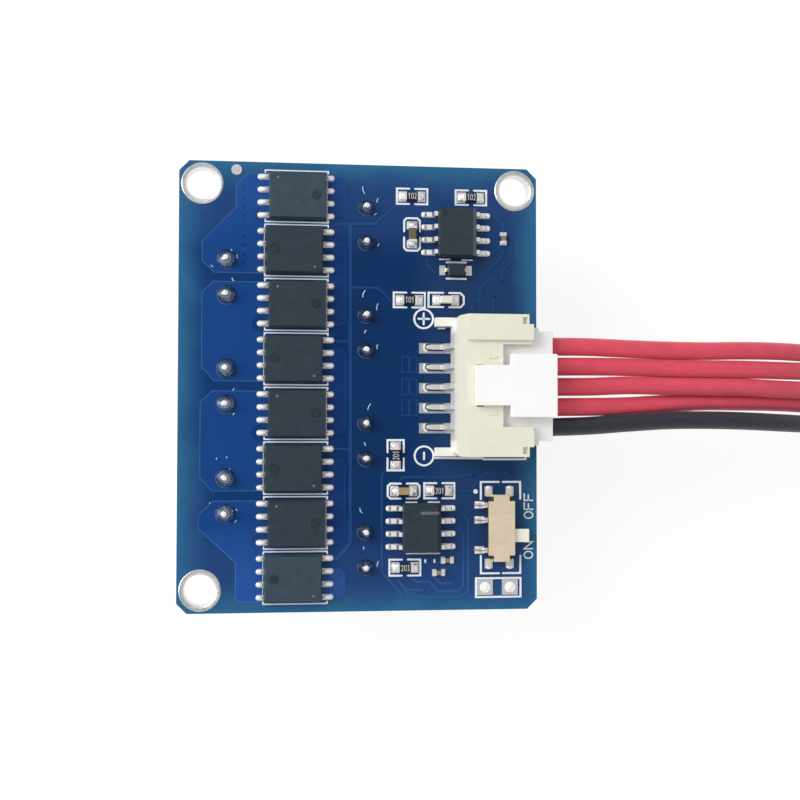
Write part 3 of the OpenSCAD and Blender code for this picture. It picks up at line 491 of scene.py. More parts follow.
def dress(material, *nodes):
    """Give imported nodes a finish."""
    for name in nodes:
        NODES[name].material_slots[0].material = material


# Reach of the weld in metres, steps of a rounding, and the angle from which an edge is rounded
WELD_REACH, ROUND_STEPS, ROUND_ANGLE = 1e-6, 2, math.radians(25)


def smooth_shading():
    """Geometry nodes, made once, that drop a mesh's stored normals and smooth its faces."""
    name = "smooth shading"
    if name in bpy.data.node_groups:
        return bpy.data.node_groups[name]
    group = bpy.data.node_groups.new(name, "GeometryNodeTree")
    for way in ("INPUT", "OUTPUT"):
        group.interface.new_socket("Geometry", in_out=way, socket_type="NodeSocketGeometry")
    nodes = Nodes(group)
    given = nodes.node("NodeGroupInput", {})
    bare = nodes.node("GeometryNodeRemoveAttribute", {"Geometry": given, "Name": "custom_normal"})
    smooth = nodes.node("GeometryNodeSetShadeSmooth", {"Geometry": bare})
    nodes.feed(group.nodes.new("NodeGroupOutput").inputs[0], smooth)
    return group


def soften(width, *nodes):
    """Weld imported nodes' triangles and round their edges by live modifiers. Their meshes stay as they are."""
    for name in nodes:
        stack = NODES[name].modifiers
        stack.new("shading", "NODES").node_group = smooth_shading()
        stack.new("weld", "WELD").merge_threshold = WELD_REACH
        edge = stack.new("edge", "BEVEL")
        edge.width, edge.segments = width, ROUND_STEPS
        edge.limit_method, edge.angle_limit = "ANGLE", ROUND_ANGLE
        edge.harden_normals = True


# Surfaces as whole arrays

# Angle from which an edge of a new piece stays sharp
SHARP_ANGLE = math.radians(40)


class Shape:
    """Points and faces of several surfaces, gathered for one mesh."""

    def __init__(self):
        self.points, self.faces, self.count = [], [], 0

    def add(self, points, *face_groups):
        """Add an array of points and arrays of faces that index them."""
        flat = np.asarray(points, float).reshape(-1, 3)
        for group in face_groups:
            self.faces.extend((np.atleast_2d(group) + self.count).tolist())
        self.points.append(flat)
        self.count += len(flat)

    def make(self, name, material, slot, body=MODULE):
        """The finished piece, at the origin and riding on a body."""
        mesh = bpy.data.meshes.new(name)
        mesh.from_pydata(np.concatenate(self.points), [], self.faces)
        mesh.polygons.foreach_set("use_smooth", np.ones(len(mesh.polygons), bool))
        mesh.set_sharp_from_angle(angle=SHARP_ANGLE)
        mesh.materials.append(material)
        piece = bpy.data.objects.new(name, mesh)
        bpy.context.scene.collection.objects.link(piece)
        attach(piece, body)
        return piece


def grid_faces(rows, columns, closed_rows=False):
    """Quads over a grid of points whose columns close on themselves, and its rows too if asked."""
    i = np.arange(rows if closed_rows else rows - 1)[:, None]
    j = np.arange(columns)[None, :]
    below, right = (i + 1) % rows, (j + 1) % columns
    corners = [i * columns + j, i * columns + right, below * columns + right, below * columns + j]
    return np.stack(np.broadcast_arrays(*corners), -1).reshape(-1, 4)


def copied_faces(faces, count, size):
    """The same faces for count copies of a surface of size points."""
    return (faces[None] + (np.arange(count) * size)[:, None, None]).reshape(-1, faces.shape[1])


def unit(vectors):
    """Vectors at length one."""
    return vectors / np.linalg.norm(vectors, axis=-1, keepdims=True)


def beside(vectors):
    """Vectors in the plane, a quarter turn to the left."""
    return np.stack([-vectors[..., 1], vectors[..., 0]], -1)


def rounded_ends(path, widths):
    """Path and widths with both ends drawn out by half a width and narrowed as a half circle."""
    turn = np.radians([78.0, 45.0])
    out, narrow = np.sin(turn)[:, None], np.cos(turn)
    first = path[0] - unit(path[1] - path[0]) * widths[0] / 2 * out
    last = path[-1] + unit(path[-1] - path[-2]) * widths[-1] / 2 * out[::-1]
    widened = [widths[0] * narrow, widths, widths[-1] * narrow[::-1]]
    return np.vstack([first, path, last]), np.concatenate(widened)


def add_ribbon(shape, path, width, low, high, closed=False):
    """A raised line: a trapezoid carried along a path in the plane. Each section lies on the mitre
    (a + b) / (1 + a.b) of the normals a and b of the stretches that meet there."""
    path = np.asarray(path, float)
    widths = np.full(len(path), width)
    if not closed:
        path, widths = rounded_ends(path, widths)
    ahead = unit(np.roll(path, -1, 0) - path)
    if not closed:
        ahead[-1] = ahead[-2]
    behind = np.roll(ahead, 1, 0)
    if not closed:
        behind[0] = ahead[0]
    a, b = beside(ahead), beside(behind)
    mitre = (a + b) / (1 + (a * b).sum(1, keepdims=True))
    across = np.array([1.0, 0.8, -0.8, -1.0])
    flat = path[:, None] + mitre[:, None] * (widths / 2)[:, None, None] * across[None, :, None]
    rise = np.broadcast_to(np.array([low, high, high, low]), flat.shape[:2])
    rows = len(path)
    caps = [] if closed else [np.arange(4)[::-1], np.arange(4) + 4 * (rows - 1)]
    shape.add(np.concatenate([flat, rise[..., None]], -1), grid_faces(rows, 4, closed)[:, ::-1], *caps)


def add_plate(shape, outline, low, high):
    """A flat plate over an outline given counter-clockwise, with straight sides."""
    outline = np.asarray(outline, float)
    count = len(outline)
    rings = [np.column_stack([outline, np.full(count, z)]) for z in (low, high)]
    top = np.arange(count) + count
    shape.add(np.stack(rings), grid_faces(2, count), top, np.arange(count)[::-1])


# Where the first and last section of a bead lie along it, and the number of its sections
BEAD_ENDS, BEAD_STEPS = (0.06, 0.94), 9


def add_beads(shape, tips, roots, half_widths, heights, floors, lean=0.5, taper=0.0):
    """Beads of solder from tips to roots. Along t the half width is w (4t(1-t))^0.3 (1 - taper t) and the
    height is h (4t(1-t))^0.5 (1 + lean (t - 1/2)). Across, the section is half an ellipse on a flat
    bottom."""
    tips, roots = np.atleast_2d(tips), np.atleast_2d(roots)
    count = len(tips)
    t = 0.5 - 0.5 * np.cos(np.linspace(*BEAD_ENDS, BEAD_STEPS) * np.pi)
    turn = np.linspace(0, np.pi, BEAD_STEPS)
    hump = 4 * t * (1 - t)
    wide = np.broadcast_to(half_widths, count)[:, None] * hump**0.3 * (1 - taper * t)
    tall = np.broadcast_to(heights, count)[:, None] * hump**0.5 * (1 + lean * (t - 0.5))
    along = tips[:, None] + (roots - tips)[:, None] * t[None, :, None]
    side = beside(unit(roots - tips))[:, None, None]
    flat = along[:, :, None] + side * (wide[:, :, None] * np.cos(turn))[..., None]
    rise = np.broadcast_to(floors, count)[:, None, None] + tall[:, :, None] * np.sin(turn)
    size = len(t) * len(turn)
    ends = np.arange(len(turn))
    last = ends + size - len(turn)
    faces = grid_faces(len(t), len(turn))[:, ::-1]
    shape.add(
        np.concatenate([flat, rise[..., None]], -1),
        copied_faces(faces, count, size),
        copied_faces(ends[None, :], count, size),
        copied_faces(last[None, ::-1], count, size),
    )


def add_turned(shape, centres, radii, heights, sides=32, wobble=0.0, closed=False):
    """Profiles turned round upright axes, one at each centre. radii and heights are one row for all
    centres, or a row for each. wobble swells a ring as 1 + wobble sin(2 angle + 2.4 k) at centre k. An
    open profile is capped at both ends."""
    centres, radii, heights = (np.atleast_2d(v) for v in (centres, radii, heights))
    count, rows = len(centres), radii.shape[1]
    angle = np.arange(sides) * 2 * np.pi / sides
    phase = np.arange(count)[:, None, None] * 2.4
    ring = radii[:, :, None] * (1 + wobble * np.sin(2 * angle[None, None] + phase))
    x = centres[:, None, None, 0] + ring * np.cos(angle)
    y = centres[:, None, None, 1] + ring * np.sin(angle)
    z = np.broadcast_to(heights[:, :, None], ring.shape)
    size = rows * sides
    ends = np.arange(sides)
    caps = [] if closed else [
        copied_faces(ends[None, ::-1], count, size),
        copied_faces(ends[None, :] + size - sides, count, size),
    ]
    shape.add(np.stack([x, y, z], -1), copied_faces(grid_faces(rows, sides, closed), count, size), *caps)


def arc(centre, radius, start, end, steps=24):
    """Points of an arc in the plane, from one angle to another in degrees."""
    turn = np.radians(np.linspace(start, end, steps))
    return np.asarray(centre) + radius * np.stack([np.cos(turn), np.sin(turn)], -1)


# Copper under the mask, with places in millimetres

UNDER_CHIPS = -8.6
LEFT_FIELDS = [
    [(-11.1, 21.1), (-12.3, 19.9), (-12.3, 17.7), (-15.6, 14.3), (-15.6, 12.3), (-14.4, 11.2)],
    [(-14.5, 10.3), (-15.6, 9.2), (-15.6, 1.9), (-14.4, 0.5)],
    [(-14.5, -0.5), (-15.7, -1.6), (-15.7, -9.0), (-14.5, -10.3)],
    [(-14.4, -11.3), (-15.8, -12.6), (-15.8, -14.0), (-12.2, -17.3), (-12.2, -20.9), (-11.8, -21.2)],
]
RIGHT_FIELDS = [(20.9, 17.0), (14.4, 6.1), (3.7, -4.6), (-7.2, -15.5), (-18.0, -20.8)]
FIELD_LEFT, FIELD_RIGHT, FIELD_CUT = -4.0, -1.45, 0.5
TRUNK_X = -1.0
TRUNK = [(TRUNK_X, 16.2), (TRUNK_X + 0.06, -15.6), (-2.35, -17.1)]
TRUNK_WIDTH = 0.36
TRACKS = [
    [(-2.4, 16.2), (1.4, 16.3), (3.3, 18.0)],
    [(TRUNK_X, 9.9), (1.8, 9.9), (3.0, 8.7)],
    [(-2.4, 4.5), (TRUNK_X, 4.5)],
    [(-2.4, -6.2), (TRUNK_X, -6.2)],
    [
        (2.5, -8.4), (2.2, -8.7), (2.2, -18.4), (4.4, -20.9), (10.2, -21.0), (10.9, -20.3), (10.9, -13.3),
        (9.8, -12.2),
    ],
    [(3.9, -19.3), (4.7, -20.2), (6.3, -20.2)],
    [
        (5.3, -19.1), (5.6, -19.4), (7.0, -19.4), (7.9, -20.4), (9.8, -20.4), (10.4, -19.9), (10.4, -14.8),
        (9.9, -13.8),
    ],
    [(7.5, -19.0), (8.1, -19.6), (9.3, -19.6)],
    [(4.0, -9.3), (4.3, -9.0), (10.1, -9.0), (10.6, -8.8), (11.4, -8.8)],
    [(9.8, -10.4), (11.0, -10.4), (12.7, -8.6), (15.1, -8.6)],
    [(6.7, 13.0), (6.7, 12.4), (7.6, 11.5)],
    [(13.5, 17.4), (14.5, 16.5), (14.5, 15.9)],
    [(13.3, 13.6), (14.2, 14.3), (14.5, 14.6)],
    [(12.1, 11.6), (12.7, 11.6), (14.3, 13.2), (14.5, 13.9)],
    [(14.7, 15.6), (15.3, 15.2), (15.3, 12.7), (14.4, 11.7), (14.4, 10.8)],
    [(13.9, 10.9), (13.0, 10.9), (12.1, 10.0), (12.1, 7.9)],
    [(10.9, 8.8), (11.9, 8.8)],
    [(13.5, 9.2), (13.5, 7.7)],
]
# Columns of vias: side, first place, count and pitch
VIA_COLUMNS = [
    (-2.0, 19.55, 4, 0.88), (-1.85, 13.65, 7, 1.17), (-1.85, 3.0, 7, 1.17), (-1.85, -7.85, 7, 1.17),
    (-1.85, -18.6, 3, 1.17), (-11.59, 19.5, 4, 0.9), (-11.59, 14.82, 4, 0.89),
]
LONE_VIAS = [
    (6.3, -20.2), (9.3, -19.6), (9.3, -18.5), (11.4, -8.8), (15.1, -8.6), (14.4, 10.8), (13.5, 9.2),
]
# Radii of a via from its foot in to its middle, and the rises of all but the first over the fields
VIA_RADII, VIA_RISES = (0.19, 0.152, 0.1, 0.05), (0.02, 0.015, 0.003)
# Gap in a left field round the fourth lead of a chip, from the chip's edge
GATE_GAP_OUT, GATE_GAP_RADII = 0.85, (0.78, 0.7566)
# Small copper fields behind the header's pins: left and right sides, tops and height
PIN_FIELD_XS, PIN_FIELD_TOPS, PIN_FIELD_HEIGHT = ((4.2, 4.85), (5.0, 5.7)), (3.0, 0.8, -1.3), 1.55
# Rises of a rim, of the trunk and of a gap over the fields
RIM_RISE, TRUNK_RISE, GAP_RISE = 0.01, 0.005, 0.006
# Shades of the mask in a gap, over a right rim and over a via, and its lifts over left fields, over their
# rims, and over tracks and right rims
GAP_SHADE, RIM_SHADE, VIA_SHADE = -0.34, 0.38, 0.1
FIELD_LIFT, RIM_LIFT, TRACK_LIFT = 0.425, 0.255, 0.51


def right_field(high, low):
    """Outline of a copper field at the right of the chips, with two cut corners."""
    near = FIELD_RIGHT - FIELD_CUT
    return [
        (FIELD_LEFT, low), (near, low), (FIELD_RIGHT, low + FIELD_CUT),
        (FIELD_RIGHT, high - FIELD_CUT), (near, high), (FIELD_LEFT, high),
    ]


def add_fields(fill, rims, outlines, sizes):
    """Copper fields as plates, with a raised line along each outline."""
    top = FACE + sizes.copper_height
    for outline in outlines:
        add_plate(fill, mm(outline), FACE, top)
        add_ribbon(rims, mm(outline), sizes.rim_width, FACE, top + mm(RIM_RISE))


def add_tracks(shape, sizes):
    """The trunk beside the power chips, the tracks, and the outlines of the small fields by the pins."""
    top = FACE + sizes.copper_height
    add_ribbon(shape, mm(TRUNK), mm(TRUNK_WIDTH), FACE, top + mm(TRUNK_RISE))
    for path in TRACKS:
        add_ribbon(shape, mm(path), sizes.track_width, FACE, top)
    for x0, x1 in PIN_FIELD_XS:
        for y in PIN_FIELD_TOPS:
            low = y - PIN_FIELD_HEIGHT
            outline = [(x0, low), (x1, low), (x1, y), (x0, y)]
            add_ribbon(shape, mm(outline), sizes.rim_width, FACE, top, closed=True)


def make_copper(sizes, colours):
    """Copper fields, tracks and vias, each a little over the board's face under the same mask."""
    dress(board_mask(colours), "circuit_board")
    fill, fill_right, rims, rims_right, tracks, vias, gaps = (Shape() for _ in range(7))
    top = FACE + sizes.copper_height
    left = [[(UNDER_CHIPS, f[0][1]), *f, (UNDER_CHIPS, f[-1][1])] for f in LEFT_FIELDS]
    add_fields(fill, rims, left, sizes)
    add_fields(fill_right, rims_right, [right_field(*ends) for ends in RIGHT_FIELDS], sizes)
    add_tracks(tracks, sizes)
    columns = [(x, y - k * pitch) for x, y, count, pitch in VIA_COLUMNS for k in range(count)]
    add_turned(vias, mm(columns + LONE_VIAS), mm(VIA_RADII), [FACE, *(top + mm(VIA_RISES))], sides=12)
    for i in range(1, POWER_COUNT + 1, 2):
        name = f"power_chip_{i}"
        place = box(name)[0][0] - mm(GATE_GAP_OUT), middle(name)[1] + LEAD_STEPS[0]
        add_turned(gaps, place, mm(GATE_GAP_RADII), [FACE, top + mm(GAP_RISE)], sides=40)
    right_rim = shade(colours.copper_right, RIM_SHADE)
    masks = [
        (gaps, "field_gaps", coated("mask in a gap", shade(colours.copper, GAP_SHADE))),
        (fill, "copper_fields", coated("mask over copper", colours.copper, FIELD_LIFT)),
        (fill_right, "copper_fields_right", coated("mask over right copper", colours.copper_right)),
        (rims, "copper_rims", coated("mask over copper edge", colours.copper_rim, RIM_LIFT)),
        (rims_right, "copper_rims_right", coated("mask over right copper edge", right_rim, TRACK_LIFT)),
        (tracks, "copper_tracks", coated("mask over track", colours.track, TRACK_LIFT)),
        (vias, "vias", coated("mask over via", shade(colours.mask_middle, VIA_SHADE))),
    ]
    for shape, name, mask in masks:
        shape.make(name, mask, "board_mask")


# White print, with places in millimetres

# Lines above and below a power chip from its middle, the length of their turned-in ends, and their ends
CHIP_LINE_HIGH, CHIP_LINE_LOW, CHIP_LINE_TURN = 2.58, -2.54, 0.2
CHIP_LINE_LEFT, CHIP_LINE_RIGHT = -9.47, -3.23
# Line beside the short leads: at the left of the even chips, at the right of the odd ones
CHIP_SIDE_LINES = (-9.55, -3.35)
# Widths of thin lines, as shares of the print's width: by the chips, beside their leads, bars and words
CHIP_LINE, SIDE_LINE, THIN_LINE, WORD_LINE = 0.76, 0.28, 0.7, 0.68
BRACKET_GAP = 0.62
BRACKETS = [
    (3.65, 6.73, 18.41, 19.95, False), (9.63, 12.74, 18.45, 19.92, False), (3.35, 6.48, 7.99, 9.47, False),
    (2.75, 4.37, -8.32, -5.31, True), (6.45, 9.48, -11.12, -9.61, False), (2.96, 6.05, -18.77, -17.19, False),
]
ROUND_BRACKETS = [(4.39, 5.98, 13.71, 16.97, True), (2.78, 5.97, -11.12, -9.64, False)]
LAMP_BRACKET, LAMP_CUT = (6.86, 10.44, 8.07, 9.50), 0.33
CORNER_CUT = 0.25
THIN_BARS = [
    [(7.97, 12.89), (9.03, 12.89)], [(10.27, 12.85), (11.3, 12.85)],
    [(4.6, -11.5), (5.68, -11.5)], [(6.86, -11.5), (7.95, -11.5)], [(4.65, -16.6), (8.0, -16.6)],
    [(7.85, 5.92), (8.5, 5.92)],
]
BARS = [
    [(8.7, 12.6), (10.65, 12.6)], [(8.7, 10.95), (10.65, 10.95)],
    [(6.55, -17.25), (6.55, -17.45)], [(7.48, -17.25), (7.48, -17.45)],
    [(7.5, -7.08), (12.4, -7.12)], [(12.45, -7.22), (16.75, -7.22), (16.75, -6.2)],
    [(12.18, -11.2), (12.18, -9.5), (14.0, -9.5)], [(14.42, -9.5), (16.2, -9.5), (16.2, -11.2)],
    [(12.18, -16.9), (12.18, -18.65), (14.0, -18.65)], [(14.42, -18.65), (16.2, -18.65), (16.2, -16.9)],
]
SPARE_FRAME = [(11.68, -19.14), (11.68, -21.01), (16.22, -21.01), (16.22, -19.14)]
SIGN_RADIUS, PLUS_ARM, MINUS_ARM = 0.95, 0.55, 0.33
PLUS_PLACE, MINUS_PLACE = (6.37, 6.86), (6.42, -6.88)
DOT_PLACE, DOT_RADIUS = (11.64, -10.45), 0.132
# Words beside the switch: text, middle, letter height, letter width and gap
WORDS = [("OFF", (17.05, -11.94), 0.88, 0.66, 0.24), ("ON", (17.02, -16.36), 0.88, 0.70, 0.26)]
ROUND = arc((0.5, 0.5), 0.5, 0, 345)
LETTERS = {
    "O": [ROUND], "N": [[(0, 0), (0, 1), (1, 0), (1, 1)]],
    "F": [[(0, 0), (0, 1), (1, 1)], [(0, 0.52), (0.85, 0.52)]],
    "0": [ROUND], "1": [[(0.2, 0.75), (0.55, 1), (0.55, 0)]],
    "2": [[*arc((0.5, 0.68), 0.34, 160, -30, 8), (0.1, 0), (0.9, 0)]],
    "3": [[*arc((0.45, 0.74), 0.28, 140, -70, 7), *arc((0.45, 0.27), 0.3, 70, -140, 7)]],
}


def strokes(text, centre, height, width, gap, turn):
    """Paths of a word's letters, turned by an angle in degrees about the word's middle."""
    step = width + gap
    start = -(len(text) * step - gap) / 2
    c, s = math.cos(math.radians(turn)), math.sin(math.radians(turn))
    for place, letter in enumerate(text):
        for path in LETTERS[letter]:
            flat = np.asarray(path) * (width, height) + (start + place * step, -height / 2)
            yield flat @ np.array([[c, s], [-s, c]]) + centre


def bracket_halves(x0, x1, y0, y1, upright):
    """Two facing halves of a frame, open in the middle of its long sides."""
    if upright:
        low, high = (y0 + y1 - BRACKET_GAP) / 2, (y0 + y1 + BRACKET_GAP) / 2
        return [[(x0, low), (x0, y0), (x1, y0), (x1, low)], [(x0, high), (x0, y1), (x1, y1), (x1, high)]]
    low, high = (x0 + x1 - BRACKET_GAP) / 2, (x0 + x1 + BRACKET_GAP) / 2
    return [[(low, y0), (x0, y0), (x0, y1), (low, y1)], [(high, y0), (x1, y0), (x1, y1), (high, y1)]]


def eased(path, cut):
    """A path of straight stretches whose inner corners are cut back to two points each."""
    p = np.asarray(path, float)
    back, ahead = unit(p[:-2] - p[1:-1]), unit(p[2:] - p[1:-1])
    pairs = np.stack([p[1:-1] + back * cut, p[1:-1] + ahead * cut], 1)
    return np.vstack([p[:1], pairs.reshape(-1, 2), p[-1:]])


def make_print(sizes, colours):
    """White lines, signs and words printed on the board's face."""
    ink = Shape()
    low, high = FACE, FACE + sizes.copper_height + sizes.print_height

    def line(path, share=1.0, closed=False):
        add_ribbon(ink, mm(path), sizes.print_width * share, low, high, closed)

    for i in range(1, POWER_COUNT + 1):
        y = middle(f"power_chip_{i}")[1] / mm(1)
        for level, turn in ((CHIP_LINE_HIGH, -CHIP_LINE_TURN), (CHIP_LINE_LOW, CHIP_LINE_TURN)):
            ends = (CHIP_LINE_LEFT, y + level), (CHIP_LINE_RIGHT, y + level)
            line([(CHIP_LINE_LEFT, y + level + turn), *ends, (CHIP_LINE_RIGHT, y + level + turn)], CHIP_LINE)
        x = CHIP_SIDE_LINES[i % 2]
        line([(x, y + CHIP_LINE_HIGH), (x, y + CHIP_LINE_LOW)], SIDE_LINE)
    for bracket in BRACKETS:
        for half in bracket_halves(*bracket):
            line(half)
    for bracket in ROUND_BRACKETS:
        for half in bracket_halves(*bracket):
            line(eased(half, CORNER_CUT))
    first, second = bracket_halves(*LAMP_BRACKET, False)
    x1, y0, y1 = LAMP_BRACKET[1:]
    corners = [(x1 - LAMP_CUT, y0), (x1, y0 + LAMP_CUT), (x1, y1 - LAMP_CUT), (x1 - LAMP_CUT, y1)]
    line(first)
    line([second[0], *corners, second[-1]])
    for path in BARS:
        line(path)
    for path in THIN_BARS:
        line(path, THIN_LINE)
    line(SPARE_FRAME, closed=True)
    for place in (PLUS_PLACE, MINUS_PLACE):
        line(arc(place, SIGN_RADIUS, 0, 350, steps=36), closed=True)
    (px, py), (qx, qy) = PLUS_PLACE, MINUS_PLACE
    line([(px - PLUS_ARM, py), (px + PLUS_ARM, py)])
    line([(px, py - PLUS_ARM), (px, py + PLUS_ARM)])
    line([(qx, qy - MINUS_ARM), (qx, qy + MINUS_ARM)])
    line(arc(DOT_PLACE, DOT_RADIUS, 0, 330, steps=12), closed=True)
    for word in WORDS:
        for path in strokes(*word, 90):
            line(path, WORD_LINE)
    ink.make("board_print", worked("white print", colours.print_ink), "board_mask")


# Solder and tin, with places in millimetres

# Beads on the power chips' pads: how far they reach out on the lead side and on the tab side and back under
# the chip, their half widths, and the tab side's height as a share of the lead side's
LEAD_REACH, TAB_REACH, PAD_BACK = 1.09, 0.77, 0.10
LEAD_HALF, TAB_HALF, TAB_SHARE = 0.31, 0.27, 0.8
# Beads of the control chips, from the pad's end to the lead's toe
CONTROL_PAD, CONTROL_TOE, CONTROL_HALF, CONTROL_SHARE = 3.52, 3.06, 0.28, 0.6
# Axis between the ends of each two-ended chip
CHIP_ENDS = {
    "resistor_1": 0, "resistor_2": 0, "resistor_3": 0, "resistor_4": 1, "resistor_5": 0, "resistor_6": 0,
    "ceramic_capacitor_1": 1, "ceramic_capacitor_2": 0, "led_base": 0,
}
CHIP_PAD_OUT, CHIP_PAD_IN, CHIP_BEAD_HALF, CHIP_BEAD_SHARE = 0.59, 0.1, 0.48, 0.8
# Fillets round the pins' feet, dark with painted shade, and crescents at their toes
PIN_PITCH, PIN_COUNT = 2.0, 5
PIN_HEEL, PIN_END, PIN_SIDE, PIN_FILLET, PIN_FILLET_HEIGHT = 6.53, 8.3, 0.32, 0.13, 0.04
CRESCENT_OUT, CRESCENT_WIDTH, CRESCENT_SPAN, CRESCENT_HEIGHT = 0.1375, 0.25, (148, 242), 0.06
FILLET_DEPTH = 0.02
# Beads beside the switch's terminals and at the ends of its feet, and painted shade in the terminals' grooves
TERMINAL_YS, TERMINAL_SIDE, TERMINAL_OUT = (2.25, 0.75, -2.25), 0.25, 0.08
TERMINAL_BEAD, TERMINAL_HALF, TERMINAL_HEIGHT = (0.95, 0), 0.12, 0.17
GROOVE_OUT, GROOVE_IN, GROOVE_WIDTH, GROOVE_RISE = 0.02, 0.8, 0.11, 0.01
FOOT_X, FOOT_END, FOOT_OUT, FOOT_IN, FOOT_HALF, FOOT_HEIGHT = 1.07, 3.9, 0.28, 0.12, 0.26, 0.14
# Joints of the capacitors, by columns: x, radius, how far the lead leans, and the places along y
JOINT_COLUMNS = [
    (-13.2, 0.95, (-0.08, 0.03), (12.53, 9.03, 1.75, -1.75, -9.03, -12.53)),
    (0.56, 0.78, (0.0, 0.05), (17.92, 14.42, 7.14, 3.64, -3.64, -7.14, -14.42, -17.92)),
]
JOINTS = [(x, y, radius, *lean) for x, radius, lean, ys in JOINT_COLUMNS for y in ys]
JOINT_HEIGHT = 0.9
# Shares of a joint's radius and height, from its foot up
JOINT_SHAPE = [
    (1, 0), (0.98, 0.14), (0.9, 0.3), (0.77, 0.47), (0.62, 0.66), (0.48, 0.85), (0.36, 0.97), (0.2, 1.0),
]
# Bright clipped end of a lead: radius and rise over the lead's top
CUT_SHAPE = [(0.25, -0.12), (0.25, 0.02), (0.22, 0.05), (0.15, 0.07), (0.06, 0.075)]
# Radii of a screw hole's plating from the ring's edge in to the wall, and the crest of the ring
RING_RADII, RING_CREST = [2.05, 1.97, 1.7, 1.57], 0.075
SPARE_HOLES, SPARE_RADII = [(12.57, -20.03), (15.11, -20.03)], [0.57, 0.57, 0.54, 0.54]
# Dried flux beside the joints, and painted glints by the left ones: middle, angle in degrees and length
FLUX_AND_GLINTS = [
    (0.3, 19.7, 105, 0.7), (1.7, 18.7, 70, 0.4), (1.5, 17.3, 40, 0.25), (1.8, 14.2, 60, 0.3),
    (0.35, 9.3, 70, 0.7), (1.7, 8.0, 80, 0.6), (0.5, 5.5, 60, 0.3), (1.7, 4.0, 85, 0.4),
    (0.9, -2.0, 65, 0.6), (0.5, -5.7, 110, 0.3), (0.1, -12.3, 115, 0.5), (0.4, -16.0, 90, 0.2),
    (1.8, -17.6, 75, 0.5), (-12.6, 10.5, 120, 0.35), (-12.2, 12.8, 100, 0.32), (-12.5, -0.4, 60, 0.3),
    (-12.77, 13.45, 150, 0.12), (-14.65, 11.8, 130, 0.2), (-14.1, -7.15, 80, 0.12), (-13.1, -7.0, 70, 0.12),
    (-12.8, -8.2, 110, 0.18), (-12.12, -12.15, 140, 0.16), (-12.2, -13.3, 60, 0.24), (-14.7, -11.5, 90, 0.14),
    (-12.45, -2.75, 55, 0.2),
]
FLUX_WIDTH, FLUX_HEIGHT, FLUX_BEND = 0.09, 0.05, 0.25
# Thin pale rim on the lower left of each joint, a painted highlight
RIM_OUT, RIM_WIDTH, RIM_SPAN = 0.02, 0.045, (150, 300)


def lead_row(x, ys):
    """Points at one x and several y."""
    return np.column_stack([np.full(len(ys), x), ys])


def power_beads(tabs, leads, sizes):
    """Beads on the power chips' pads: full and round ended on the lead side, short on the tab side."""
    for i in range(1, POWER_COUNT + 1):
        low, high = box(f"power_chip_{i}")
        ys = (low[1] + high[1]) / 2 + LEAD_STEPS
        for side, edge in ((-1, low[0]), (1, high[0])):
            roots = lead_row(edge - side * mm(PAD_BACK), ys)
            if (side < 0) == (i % 2 == 1):
                tips = lead_row(edge + side * mm(LEAD_REACH), ys)
                add_beads(leads, tips, roots, mm(LEAD_HALF), sizes.bead_height, SEAT, lean=0.3, taper=0.35)
            else:
                tips = lead_row(edge + side * mm(TAB_REACH), ys)
                add_beads(tabs, tips, roots, mm(TAB_HALF), sizes.bead_height * TAB_SHARE, SEAT, lean=0.4)


def control_beads(shape, sizes):
    """Beads in front of the toes of the control chips' leads."""
    height = sizes.bead_height * CONTROL_SHARE
    for name in ("driver_chip", "timer_chip"):
        x, y = middle(name)[:2]
        for side in (-1, 1):
            ends = (CONTROL_PAD, CONTROL_TOE)
            tips, roots = (lead_row(x + side * mm(out), y + LEAD_STEPS) for out in ends)
            add_beads(shape, tips, roots, mm(CONTROL_HALF), height, SEAT, lean=0.3)


def chip_beads(shape):
    """Menisci from the pads up the metal ends of the two-ended chips."""
    for name, axis in CHIP_ENDS.items():
        low, high = box(name)
        height = (high[2] - SEAT) * CHIP_BEAD_SHARE
        for side, edge in ((-1, low[axis]), (1, high[axis])):
            tip, root = middle(name)[:2], middle(name)[:2]
            tip[axis] = edge + side * mm(CHIP_PAD_OUT)
            root[axis] = edge - side * mm(CHIP_PAD_IN)
            add_beads(shape, tip, root, mm(CHIP_BEAD_HALF), height, SEAT, lean=0.9)


def pin_beads(shape, fillets):
    """A low fillet round each header pin's foot, dark with painted shade, with a bright crescent of solder at
    its toe.
    """
    low = SEAT - mm(FILLET_DEPTH)
    for y in (np.arange(PIN_COUNT) - (PIN_COUNT - 1) / 2) * PIN_PITCH:
        toe = (PIN_HEEL + PIN_SIDE, y)
        path = [(PIN_END, y + PIN_SIDE), *arc(toe, PIN_SIDE, 90, 270, steps=13), (PIN_END, y - PIN_SIDE)]
        add_ribbon(fillets, mm(path), mm(PIN_FILLET), low, SEAT + mm(PIN_FILLET_HEIGHT))
        crescent = arc(toe, PIN_SIDE + CRESCENT_OUT, *CRESCENT_SPAN, steps=13)
        add_ribbon(shape, mm(crescent), mm(CRESCENT_WIDTH), low, SEAT + mm(CRESCENT_HEIGHT))


